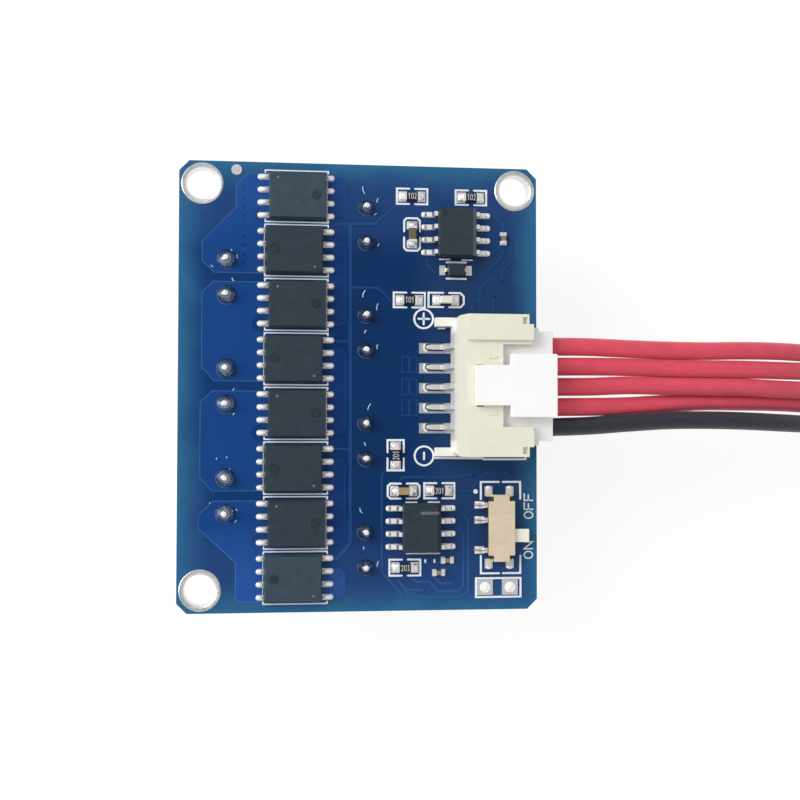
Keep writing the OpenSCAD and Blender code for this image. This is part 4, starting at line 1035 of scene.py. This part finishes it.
def switch_beads(shape, grooves):
    """Beads along both sides of the switch's three terminals and at the ends of its four feet, and a
    dark line of painted shade along each terminal's groove."""
    low, high = box("switch_terminals")
    centre = middle("switch_cover")[:2]
    for y in TERMINAL_YS:
        for side in (-TERMINAL_SIDE, TERMINAL_SIDE):
            tip = np.array([low[0] - mm(TERMINAL_OUT), centre[1] + mm(y + side)])
            root = tip + mm(TERMINAL_BEAD)
            add_beads(shape, tip, root, mm(TERMINAL_HALF), mm(TERMINAL_HEIGHT), SEAT, lean=0.2)
        groove_shade = [(low[0] + mm(x), centre[1] + mm(y)) for x in (-GROOVE_OUT, GROOVE_IN)]
        add_ribbon(grooves, groove_shade, mm(GROOVE_WIDTH), SEAT, high[2] + mm(GROOVE_RISE))
    for x in (-FOOT_X, FOOT_X):
        for side in (-1, 1):
            foot = centre + mm([x, side * FOOT_END])
            tip, root = foot + mm([0, side * FOOT_OUT]), foot - mm([0, side * FOOT_IN])
            add_beads(shape, tip, root, mm(FOOT_HALF), mm(FOOT_HEIGHT), SEAT, lean=0.4)


def make_joints(solder_reflection, satin):
    """The capacitors' joints, and the bright cut ends of the leads that lean in them."""
    cones, cuts = Shape(), Shape()
    places = mm(JOINTS)
    share, rise = np.array(JOINT_SHAPE).T
    heights = FACE + mm(JOINT_HEIGHT) * rise
    add_turned(cones, places[:, :2], places[:, 2:3] * share, heights, sides=40, wobble=0.035)
    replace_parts(cones.make("solder_cones", solder_reflection, "solder"), "solder_joints")
    radii, rise = mm(CUT_SHAPE).T
    tops = box("can_leads")[1][2] + rise
    add_turned(cuts, places[:, :2] + places[:, 3:], radii, tops, sides=24, wobble=0.05)
    cuts.make("lead_ends", satin, "tinned_metal")


def make_holes(tin, bright):
    """Plating of the screw holes, with a ring on each face, and of the two empty header holes."""
    holes, barrels = Shape(), Shape()
    low, high = box("hole_rings")
    (x0, y0), (x1, y1) = low[:2] + mm(RING_RADII[0]), high[:2] - mm(RING_RADII[0])
    under, crest = BOARD_LOW[2], mm(RING_CREST)
    rise = [FACE, FACE + crest, FACE + crest, FACE, under, under - crest, under - crest, under]
    radii = mm(RING_RADII + RING_RADII[::-1])
    add_turned(holes, [(x0, y1), (x1, y1), (x0, y0)], radii, rise, sides=64, closed=True)
    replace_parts(holes.make("plated_holes", tin, "tinned_metal"), "hole_rings")
    add_turned(barrels, mm(SPARE_HOLES), mm(SPARE_RADII), [under, SEAT, SEAT, under], sides=40, closed=True)
    barrels.make("spare_barrels", bright, "tinned_metal")


def make_flux_and_highlights(colours):
    """Specks of dried flux beside the joints, a few of them painted glints, and a painted highlight in a thin
    rim round each joint.
    """
    flux, rims = Shape(), Shape()
    top = FACE + mm(FLUX_HEIGHT)
    for x, y, turn, span in FLUX_AND_GLINTS:
        centre = np.array([x, y])
        half = np.array([math.cos(math.radians(turn)), math.sin(math.radians(turn))]) * span / 2
        path = [centre - half, centre + beside(half) * FLUX_BEND, centre + half]
        add_ribbon(flux, mm(path), mm(FLUX_WIDTH), FACE, top)
    for x, y, radius, *_ in JOINTS:
        rim = arc((x, y), radius + RIM_OUT, *RIM_SPAN, steps=16)
        add_ribbon(rims, mm(rim), mm(RIM_WIDTH), FACE, top)
    flux.make("flux_and_glint_specks", worked("dried flux", colours.flux), "solder")
    rims.make("joint_rim_highlights", worked("joint rim highlight", colours.joint_rim_highlight), "solder")


def make_solder(sizes, colours):
    """Solder beads, the capacitors' joints, the plated holes, dried flux, painted highlights and tinned metal.
    """
    # The joints' solder takes a painted dark, bluish reflection
    tin, solder_reflection = worked("tin plating", colours.tin), worked("solder cone", colours.solder)
    bright, satin = (worked(name, colours.bright) for name in ("bright solder", "satin solder"))
    beads, bullets, fillets, grooves = (Shape() for _ in range(4))
    power_beads(beads, bullets, sizes)
    control_beads(bullets, sizes)
    chip_beads(beads)
    switch_beads(bullets, grooves)
    pin_beads(bullets, fillets)
    beads.make("solder_beads", bright, "solder")
    bullets.make("lead_beads", satin, "solder")
    # The fillets carry a painted shade
    fillets.make("pin_fillets", worked("pin fillet", colours.fillet), "solder")
    grooves.make("terminal_grooves", worked("terminal groove shade", colours.groove_shade), "solder")
    make_joints(solder_reflection, satin)
    make_holes(tin, bright)
    make_flux_and_highlights(colours)
    # The pads under the header's pins take a painted shade
    dress(worked("tinned pads", colours.pad, (pin_pads, colours.pin_pad)), "solder_pads")
    # The steep parts of the control chips' leads take a painted shade
    shaded_leads = worked("shaded bent tin", colours.bright, (bent_faces, colours.bend))
    dress(shaded_leads, "driver_chip_leads", "timer_chip_leads")
    dress(worked("cap tin", colours.bright), "chip_end_caps")
    dress(tin, "power_chip_leads", "diode_leads", "header_anchors")
    # The leads in the joints take the same painted reflection
    dress(solder_reflection, "can_leads")
    dress(satin, "switch_terminals")


# Chips and their marks, with places in millimetres

RESISTOR_CODES = {1: "102", 2: "102", 3: "101", 4: "201", 5: "201", 6: "203"}
CODE_HEIGHT, CODE_WIDTH, CODE_GAP, CODE_STROKE = 0.56, 0.22, 0.09, 0.065
MARK_RISE = 0.012
# Dot by a power chip's first lead and smooth disc at its other end: distance in from the sides, then the
# radii of foot and top and their heights over the chip's top
PIN_DOT_IN, PIN_DOT_RADII, PIN_DOT_RISES = (0.9, 0.65), (0.16, 0.144), (-0.055, -0.03)
DISC_IN, DISC_RADII, DISC_RISES = 1.05, (0.36, 0.342), (-0.03, 0.006)
TIMER_BAR, TIMER_BAR_WIDTH = [(6.05, -12.5), (7.55, -12.5)], 0.34
# Shades of the power chips in the row and at its ends, and of the discs, against the mould's colour
ROW_SHADE, END_SHADE, DISC_SHADE = -0.38, 0.12, -0.45
# Rounding of the lamp's lens and the ceramic capacitors, as a share of the plastic's
SMALL_ROUND = 0.6


def add_chip_marks(marks, discs):
    """Dots and discs of the power chips, turned with the chips, and the timer chip's bar."""
    for i in range(1, POWER_COUNT + 1):
        low, high = box(f"power_chip_{i}")
        centre, half = (low + high)[:2] / 2, (high - low)[:2] / 2
        way = 1 if i % 2 else -1
        dot = centre + way * (half - mm(PIN_DOT_IN)) * (-1, 1)
        add_turned(marks, dot, mm(PIN_DOT_RADII), high[2] + mm(PIN_DOT_RISES), sides=16)
        disc = centre + way * np.array([half[0] - mm(DISC_IN), 0])
        add_turned(discs, disc, mm(DISC_RADII), high[2] + mm(DISC_RISES), sides=32)
    top = box("timer_chip")[1][2]
    add_ribbon(marks, mm(TIMER_BAR), mm(TIMER_BAR_WIDTH), top - mm(MARK_RISE), top + mm(MARK_RISE))


def add_codes(codes):
    """Number codes along the resistors."""
    for i, text in RESISTOR_CODES.items():
        low, high = box(f"resistor_{i}")
        centre = (low + high)[:2] / 2 / mm(1)
        turn = 90 if (high - low)[1] > (high - low)[0] else 0
        for path in strokes(text, centre, CODE_HEIGHT, CODE_WIDTH, CODE_GAP, turn):
            add_ribbon(codes, mm(path), mm(CODE_STROKE), high[2] - mm(MARK_RISE), high[2] + mm(MARK_RISE))


def make_chips(sizes, colours):
    """Finishes of the chips, their orientation marks and the resistors' number codes."""
    row, ends = shade(colours.mould, ROW_SHADE), shade(colours.mould, END_SHADE)
    # The pale bevel colour is a painted highlight on the faces that lean towards +x
    bevel = [(right_faces, colours.bevel)]
    moulds = [
        ("timer mould", colours.control, [], ["timer_chip"]),
        ("driver mould", colours.control, bevel, ["driver_chip"]),
        ("row mould", row, [], [f"power_chip_{i}" for i in range(2, POWER_COUNT, 2)]),
        ("bevelled row mould", row, bevel, [f"power_chip_{i}" for i in range(3, POWER_COUNT, 2)]),
        ("first mould", ends, bevel, ["power_chip_1"]),
        ("last mould", ends, [], [f"power_chip_{POWER_COUNT}"]),
    ]
    for name, base, over, nodes in moulds:
        dress(worked(name, base, *over, recipe="chip mould"), *nodes)
    dress(worked("diode mould", colours.diode), "diode")
    dress(worked("resistor glaze", colours.glaze), *(f"resistor_{i}" for i in RESISTOR_CODES))
    dress(worked("brown ceramic", colours.brown), "ceramic_capacitor_1")
    dress(worked("tan ceramic", colours.tan), "ceramic_capacitor_2")
    dress(worked("grey ceramic", colours.grey), "small_chips")
    dress(worked("lamp base", colours.lamp), "led_base")
    dress(worked("lamp lens", colours.lens), "led_lens")
    soften(sizes.edge_round * SMALL_ROUND, "led_lens", "ceramic_capacitor_1", "ceramic_capacitor_2")
    marks, codes, discs = Shape(), Shape(), Shape()
    add_chip_marks(marks, discs)
    add_codes(codes)
    marks.make("chip_marks", worked("chip mark", colours.chip_mark), "chip_mould")
    discs.make("mould_discs", worked("smooth mould", shade(colours.mould, DISC_SHADE)), "chip_mould")
    codes.make("resistor_codes", worked("code ink", colours.code_ink), "resistor_glass")


# Connector, switch and capacitors

CAN_COUNT = 7
# Painted shade of the header's rear slope, and rounding of the knob as a share of the plastic's
SLOPE_PAINTED_SHADE, KNOB_ROUND = -0.16, 0.7
# How the grain of the switch's sheet and of the cans is drawn out
SHEET_GRAIN, CAN_GRAIN = (0.25, 1.0, 1.0), (1.0, 1.0, 0.08)


def make_connector(sizes, colours):
    """Finishes of the header, the plug, its contacts and the pins."""
    # The rear slope takes a painted shade, darker than the rest of the nylon
    slope = (rear_slope_painted_shade, shade(colours.ivory, SLOPE_PAINTED_SHADE))
    # Painted shade on the rear ledge, and a painted highlight on the rear tabs
    ledge_shade, tabs = (rear_ledge, colours.ivory_ledge_shade), (rear_tabs, colours.ivory_tab_highlight)
    dress(worked("ivory nylon", colours.ivory, slope, ledge_shade, tabs), "header_housing")
    dress(worked("white nylon", colours.white), "plug_housing")
    soften(sizes.edge_round, "header_housing", "plug_housing")
    # Painted shade on the pins' rising legs, and painted highlights in the bright colour at each foot's toe and
    # bend
    leg_shade, lights = (bent_faces, colours.pin_leg_shade), (pin_highlights, colours.bright)
    dress(worked("pin tin", colours.pin, leg_shade, lights), "header_pins")
    dress(worked("contact bronze", colours.bronze), "plug_contacts")


def make_switch(sizes, colours):
    """Finishes of the slide switch, with its sheet brushed across."""
    feet = (switch_feet, colours.foot)
    dress(worked("switch sheet", colours.sheet, feet, stretch=SHEET_GRAIN), "switch_cover")
    dress(worked("switch base", colours.switch_base), "switch_base")
    dress(worked("cream nylon", colours.knob), "switch_slider")
    dress(worked("switch contact", colours.brass), "switch_contact")
    soften(sizes.edge_round * KNOB_ROUND, "switch_slider")


def make_capacitors(sizes, colours):
    """Finishes of the capacitor cans, drawn along their axes, and of their seals."""
    drawn = worked("drawn aluminium", colours.can, stretch=CAN_GRAIN)
    dress(drawn, *(f"can_{i}" for i in range(1, CAN_COUNT + 1)))
    dress(worked("seal rubber", colours.seal), "can_seals")


# Wires, with routes close to those of the solids, in millimetres

PLUG_BACK, EXIT_HEIGHT, GROUND = 18.6, 16.0, 1.2
WIRE_RUNS = [0, 4, 8, 12, 16, 20, 24, 28, 32, 36, 40, 44, 46]
WIRE_FALLS = [1, 1, 1, 1, 1, 0.99, 0.95, 0.85, 0.66, 0.4, 0.14, 0, 0]
WIRE_SIDES = [
    [4, 4, 3.86, 3.75, 3.72, 3.8, 3.82, 3.75, 3.7, 3.7, 3.7, 3.7, 3.7],
    [2, 2.05, 2.03, 1.95, 1.9, 1.9, 1.85, 1.85, 1.85, 1.85, 1.85, 1.85, 1.85],
    [0, 0.04, 0.2, 0.15, 0.12, 0.11, -0.05, -0.1, 0, 0, 0, 0, 0],
    [-2, -1.96, -1.85, -1.6, -1.36, -1.35, -1.38, -1.5, -1.75, -1.85, -1.85, -1.85, -1.85],
    [-4, -3.85, -3.55, -3.3, -3.25, -3.32, -3.48, -3.62, -3.7, -3.7, -3.7, -3.7, -3.7],
]
# Extra fall of the fourth wire, which dips under the third
DIP_WIRE = 3
WIRE_DIPS = [0, 0, 0.62, 0.8, 1.1, 1.2, 1.25, 1.2, 0.9, 0.5, 0.15, 0, 0]
COIL_CENTRE, COIL_RADIUS, LAY_PITCH = (78.83, -11.0), 11.0, 1.85
# Straight run before the coil, and the step between points round it
STRAIGHT, COIL_STEP = 7.0, 1.0
# Rise to the second layer, the run that it takes, and the angle left before the crossing
LAYER_RISE, CLIMB_RUN, CLIMB_EARLY = 1.8, 9.0, 0.12
# Bare end: rings and sides of its tube, where it starts in the rubber, and its swell, strands and twist
TIP_RINGS, TIP_SIDES, TIP_START = 14, 28, -0.15
TIP_SWELL, TIP_STRANDS, TIP_TWIST = 0.08, 7, 5
# Band: its sides, and the distances of its inner and outer face from the wires
BAND_SIDES, BAND_INNER, BAND_OUTER = 64, 0.02, 0.26


def smooth_line(points, steps=6):
    """A curve through points: on each stretch a cubic whose end slopes are half the step between
    the neighbours of its end points."""
    p = np.asarray(points, float)
    slope = np.gradient(p, axis=0)
    t = np.linspace(0, 1, steps, endpoint=False)[None, :, None]
    a, b, u, v = (q[:, None] for q in (p[:-1], p[1:], slope[:-1], slope[1:]))
    curve = (
        (2 * t**3 - 3 * t**2 + 1) * a + (t**3 - 2 * t**2 + t) * u
        + (3 * t**2 - 2 * t**3) * b + (t**3 - t**2) * v
    )
    return np.vstack([curve.reshape(-1, 3), p[-1:]])


def run_length(line):
    """Length of a line of points."""
    return np.linalg.norm(np.diff(line, axis=0), axis=1).sum()


def wire_line(k, total):
    """A wire's centre line: out of the plug, down to the ground, and clockwise round the coil. It
    climbs to the second layer just before it would cross the straight lead-in of its neighbours, and
    the innermost wire climbs sooner."""
    x, y = COIL_CENTRE
    falls = GROUND + np.array(WIRE_FALLS) * (EXIT_HEIGHT - GROUND)
    dips = np.array(WIRE_DIPS) if k == DIP_WIRE else 0.0
    route = np.column_stack([PLUG_BACK + np.array(WIRE_RUNS), WIRE_SIDES[k], falls - dips])
    lay = ((WIRE_COUNT - 1) / 2 - k) * LAY_PITCH
    radius = COIL_RADIUS + lay
    inner = COIL_RADIUS - (WIRE_COUNT - 1) / 2 * LAY_PITCH
    lead_in = smooth_line(np.vstack([route, [(x - STRAIGHT, lay, GROUND), (x, lay, GROUND)]]))
    end = (total - run_length(lead_in)) / radius
    turn = np.arange(COIL_STEP / radius, end, COIL_STEP / radius)
    turn = np.append(turn[:-1], end)
    early = CLIMB_EARLY * (2 if k == WIRE_COUNT - 1 else 1)
    top = 2 * np.pi - np.arccos(inner / radius) - early
    share = np.clip((turn - top) / (CLIMB_RUN / radius) + 1, 0, 1)
    rise = GROUND + LAYER_RISE * share**2 * (3 - 2 * share)
    coil = np.column_stack([x + radius * np.sin(turn), y + radius * np.cos(turn), rise])
    return mm(np.vstack([lead_in, coil]))


def make_tip(name, line, sizes, material):
    """Bare strands: a tube along a wire's last direction, its radius swelling as
    1 + 0.08 cos(7 angle - 5 t) for the twist, with a cut end."""
    way = unit(line[-1] - line[-2])
    side = unit(np.cross(way, (0, 0, 1)))
    up = np.cross(side, way)
    t = np.linspace(TIP_START, 1, TIP_RINGS)[:, None]
    angle = np.linspace(0, 2 * np.pi, TIP_SIDES, endpoint=False)[None]
    radius = sizes.tip_diameter / 2 * (1 + TIP_SWELL * np.cos(TIP_STRANDS * angle - TIP_TWIST * t))
    centre = line[-1] + way * sizes.tip_length * t[..., None]
    ring = centre + radius[..., None] * (np.cos(angle)[..., None] * side + np.sin(angle)[..., None] * up)
    shape = Shape()
    ends = np.arange(TIP_SIDES)
    last = ends[::-1] + (TIP_RINGS - 1) * TIP_SIDES
    shape.add(ring, grid_faces(TIP_RINGS, TIP_SIDES)[:, ::-1], ends, last)
    return shape.make(name, material, "tinned_metal")


def make_band(sizes, colours, lines):
    """A band round the coil: in the cut square to the coil it follows the hull of the wires there, the
    point of each direction being the furthest wire's centre plus its radius."""
    cut = mm(COIL_CENTRE)
    centres = []
    for line in lines:
        y = line[:, 1] - cut[1]
        crossing = np.nonzero((y[:-1] > 0) & (y[1:] <= 0) & (line[1:, 0] > cut[0]))[0]
        centres.extend((line[i, 0] - cut[0], line[i, 2]) for i in crossing)
    centres = np.array(centres)
    angle = np.linspace(0, 2 * np.pi, BAND_SIDES, endpoint=False)
    way = np.stack([np.cos(angle), np.sin(angle)], -1)
    hull = centres[np.argmax(centres @ way.T, axis=0)]
    inner, outer = (hull + way * (sizes.wire_diameter / 2 + mm(out)) for out in (BAND_INNER, BAND_OUTER))
    half = sizes.band_width / 2
    corners = [(inner, -half), (outer, -half), (outer, half), (inner, half)]
    ys = np.ones(BAND_SIDES)
    rings = [np.column_stack([cut[0] + r[:, 0], ys * (cut[1] + y), r[:, 1]]) for r, y in corners]
    shape = Shape()
    shape.add(np.stack(rings, 1), grid_faces(BAND_SIDES, 4, closed_rows=True))
    band = shape.make("coil_band", worked("band tape", colours.tape), "tie_plastic")
    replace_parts(band, "coil_tie")
    return band


def make_wires(sizes, colours):
    """Five free wires, their bare ends and the band round the coiled length."""
    red = worked("red rubber", colours.red, recipe="wire rubber")
    black = worked("black rubber", colours.black, recipe="wire rubber")
    paint = [red] * (WIRE_COUNT - 1) + [black]
    strands = worked("tinned strands", colours.tin)
    lines = [wire_line(k, sizes.wire_length / mm(1)) for k in range(WIRE_COUNT)]
    band = make_band(sizes, colours, lines)
    for k, line in enumerate(lines):
        curve = bpy.data.curves.new(f"lead_{k + 1}", "CURVE")
        curve.dimensions = "3D"
        curve.bevel_depth = sizes.wire_diameter / 2
        curve.bevel_resolution = 6
        curve.use_fill_caps = True
        spline = curve.splines.new("POLY")
        spline.points.add(len(line) - 1)
        spline.points.foreach_set("co", np.column_stack([line, np.ones(len(line))]).ravel())
        spline.use_smooth = True
        curve.materials.append(paint[k])
        lead = bpy.data.objects.new(f"lead_{k + 1}", curve)
        bpy.context.scene.collection.objects.link(lead)
        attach(lead, MODULE)
        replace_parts(lead, f"wire_{k + 1}", "wire_coil")
        tip = make_tip(f"lead_tip_{k + 1}", line, sizes, strands)


# Stage

# Camera: places, lens and sensor in millimetres, roll in degrees, and how near and far it sees in metres
CAMERA_PLACE, CAMERA_AIM, CAMERA_ROLL = (-8.86, -4.82, 127.72), (3.99, -1.30, 13.6), 0.085
CAMERA_LENS, SENSOR = 51.75, 36.0
CLIP_START, CLIP_END = 0.005, 10.0
# Floor: half its side, how far it lies under the object, its own grey, and then for the camera the grey that
# takes the shadow and the glow added to it
FLOOR_HALF, FLOOR_DROP = 1.5, 0.0002
FLOOR_GREY, SHADOW_GREY, FLOOR_GLOW = (0.8, 0.8, 0.8), (0.22, 0.22, 0.22), 0.84
# Lamps: name, place, size and power
LAMPS = [("key", (-0.34, 0.20, 0.33), 0.30, 1.25), ("side", (-0.45, 0.05, 0.16), 0.30, 1.0)]
# Strength of the sky at the horizon, half way up and overhead, and where it has risen and starts to fall
SKY_LOW, SKY_MIDDLE, SKY_TOP = 0.3, 0.75, 0.33
SKY_RISEN, SKY_FALLS = 0.6, 0.8
# Rise over which the white horizon gives way to the sky, to the camera and in reflections
HAZE = (0.12, 0.24)
WHITE = (1.0, 1.0, 1.0)


def make_camera():
    """Camera at the photograph's place: it looks down at the board, a little from the left."""
    data = bpy.data.cameras.new("camera")
    data.lens, data.sensor_width = CAMERA_LENS, SENSOR
    data.clip_start, data.clip_end = CLIP_START, CLIP_END
    back = (Vector(mm(CAMERA_PLACE)) - Vector(mm(CAMERA_AIM))).normalized()
    right = Vector((0, 1, 0)).cross(back).normalized()
    turned = Matrix((right, back.cross(right), back)).transposed().to_4x4()
    camera = bpy.data.objects.new("camera", data)
    roll = Matrix.Rotation(math.radians(CAMERA_ROLL), 4, "Z")
    camera.matrix_world = Matrix.Translation(mm(CAMERA_PLACE)) @ turned @ roll
    bpy.context.scene.collection.objects.link(camera)
    bpy.context.scene.camera = camera


def make_floor():
    """Pale floor: plain white to the camera and to reflections, with a faint shadow of the object."""
    mesh = bpy.data.meshes.new("floor")
    corners = np.array([(-1, -1, 0), (1, -1, 0), (1, 1, 0), (-1, 1, 0)]) * FLOOR_HALF
    mesh.from_pydata(corners, [], [(0, 1, 2, 3)])
    material = bpy.data.materials.new("floor")
    material.use_nodes = True
    nodes = Nodes(material.node_tree)
    nodes.tree.nodes.remove(nodes.tree.nodes["Principled BSDF"])
    shadow = nodes.node("ShaderNodeBsdfDiffuse", {"Color": SHADOW_GREY})
    glow = nodes.node("ShaderNodeEmission", {"Color": WHITE, "Strength": FLOOR_GLOW})
    white = nodes.node("ShaderNodeAddShader", {0: shadow, 1: glow})
    plain = nodes.node("ShaderNodeBsdfDiffuse", {"Color": FLOOR_GREY})
    mixed = nodes.node("ShaderNodeMixShader", {0: nodes.seen(), 1: plain, 2: white})
    nodes.feed(nodes.tree.nodes["Material Output"].inputs["Surface"], mixed)
    mesh.materials.append(material)
    floor = bpy.data.objects.new("floor", mesh)
    floor.location.z = -FLOOR_DROP
    bpy.context.scene.collection.objects.link(floor)


def make_light():
    """Soft light: a sky that is brightest half way up, and two large lamps to the left."""
    world = bpy.data.worlds.new("studio")
    bpy.context.scene.world = world
    world.use_nodes = True
    sky = Nodes(world.node_tree)
    height = sky.part(sky.node("ShaderNodeTexCoord", {}, output="Generated"), 2)
    rise = sky.spread(height, 0.0, SKY_RISEN, SKY_LOW, SKY_MIDDLE)
    fall = sky.spread(height, SKY_FALLS, 1.0, 0.0, SKY_TOP - SKY_MIDDLE)
    horizon = sky.math("MULTIPLY", sky.seen(), sky.spread(height, *HAZE, 1.0, 0.0))
    strength = sky.node("ShaderNodeMix", {"Factor": horizon, "A": sky.math("ADD", rise, fall), "B": 1.0})
    background = sky.tree.nodes["Background"].inputs
    sky.feed(background["Strength"], strength)
    sky.feed(background["Color"], WHITE)
    for name, place, size, power in LAMPS:
        data = bpy.data.lights.new(name, "AREA")
        data.shape, data.size, data.energy = "DISK", size, power
        lamp = bpy.data.objects.new(name, data)
        lamp.location = place
        lamp.rotation_euler = (-Vector(place)).to_track_quat("-Z", "Y").to_euler()
        bpy.context.scene.collection.objects.link(lamp)


# Operators, panel and registration


class PieceStep:
    """What the operators of the pieces share: maker is called with the scene's sizes and colours."""

    bl_options = {"REGISTER", "UNDO"}

    def execute(self, context):
        self.maker(context.scene.balancer_sizes, context.scene.balancer_colours)
        return {"FINISHED"}


class BALANCER_OT_stage(bpy.types.Operator):
    """Set the camera, the floor and the soft light"""

    bl_idname = "balancer.stage"
    bl_label = "Stage"
    bl_options = {"REGISTER", "UNDO"}

    def execute(self, context):
        context.scene.view_settings.view_transform = "Standard"
        make_camera()
        make_floor()
        make_light()
        return {"FINISHED"}


class BALANCER_OT_wires(PieceStep, bpy.types.Operator):
    """Lay the five wires with their bare ends and the band round their coil"""

    bl_idname = "balancer.wires"
    bl_label = "Wires"
    maker = staticmethod(make_wires)


class BALANCER_OT_copper(PieceStep, bpy.types.Operator):
    """Finish the board and raise its copper fields, tracks and vias"""

    bl_idname = "balancer.copper"
    bl_label = "Board and copper"
    maker = staticmethod(make_copper)


class BALANCER_OT_print(PieceStep, bpy.types.Operator):
    """Print the white lines, signs and words"""

    bl_idname = "balancer.board_print"
    bl_label = "Print"
    maker = staticmethod(make_print)


class BALANCER_OT_solder(PieceStep, bpy.types.Operator):
    """Add the solder, the plated holes and the dried flux"""

    bl_idname = "balancer.solder"
    bl_label = "Solder and tin"
    maker = staticmethod(make_solder)


class BALANCER_OT_chips(PieceStep, bpy.types.Operator):
    """Finish the chips and mark them"""

    bl_idname = "balancer.chips"
    bl_label = "Chips"
    maker = staticmethod(make_chips)


class BALANCER_OT_connector(PieceStep, bpy.types.Operator):
    """Finish the header and its plug"""

    bl_idname = "balancer.connector"
    bl_label = "Connector"
    maker = staticmethod(make_connector)


class BALANCER_OT_slide_switch(PieceStep, bpy.types.Operator):
    """Finish the slide switch"""

    bl_idname = "balancer.slide_switch"
    bl_label = "Slide switch"
    maker = staticmethod(make_switch)


class BALANCER_OT_capacitors(PieceStep, bpy.types.Operator):
    """Finish the capacitors under the board"""

    bl_idname = "balancer.capacitors"
    bl_label = "Capacitors"
    maker = staticmethod(make_capacitors)


STEPS = (
    BALANCER_OT_stage,
    BALANCER_OT_wires,
    BALANCER_OT_copper,
    BALANCER_OT_print,
    BALANCER_OT_solder,
    BALANCER_OT_chips,
    BALANCER_OT_connector,
    BALANCER_OT_slide_switch,
    BALANCER_OT_capacitors,
)


class BALANCER_PT_looks(bpy.types.Panel):
    """The steps that dress the module, in their order"""

    bl_idname = "BALANCER_PT_looks"
    bl_label = "Battery balancer"
    bl_space_type = "VIEW_3D"
    bl_region_type = "UI"
    bl_category = "Balancer"

    def draw(self, context):
        for step in STEPS:
            self.layout.operator(step.bl_idname)
        for group in (context.scene.balancer_sizes, context.scene.balancer_colours):
            column = self.layout.column()
            for key in group.__annotations__:
                column.prop(group, key)


CLASSES = (BalancerSizes, BalancerColours, *STEPS, BALANCER_PT_looks)


def register():
    """Register the classes and hang the sizes and colours on the scene."""
    for cls in CLASSES:
        bpy.utils.register_class(cls)
    bpy.types.Scene.balancer_sizes = bpy.props.PointerProperty(type=BalancerSizes)
    bpy.types.Scene.balancer_colours = bpy.props.PointerProperty(type=BalancerColours)


def unregister():
    """Take the sizes, the colours and the classes away again."""
    del bpy.types.Scene.balancer_colours
    del bpy.types.Scene.balancer_sizes
    for cls in reversed(CLASSES):
        bpy.utils.unregister_class(cls)


def main():
    """Build the scene step by step."""
    register()
    bpy.ops.balancer.stage()
    bpy.ops.balancer.wires()
    bpy.ops.balancer.copper()
    bpy.ops.balancer.board_print()
    bpy.ops.balancer.solder()
    bpy.ops.balancer.chips()
    bpy.ops.balancer.connector()
    bpy.ops.balancer.slide_switch()
    bpy.ops.balancer.capacitors()


if __name__ == "__main__":
    main()
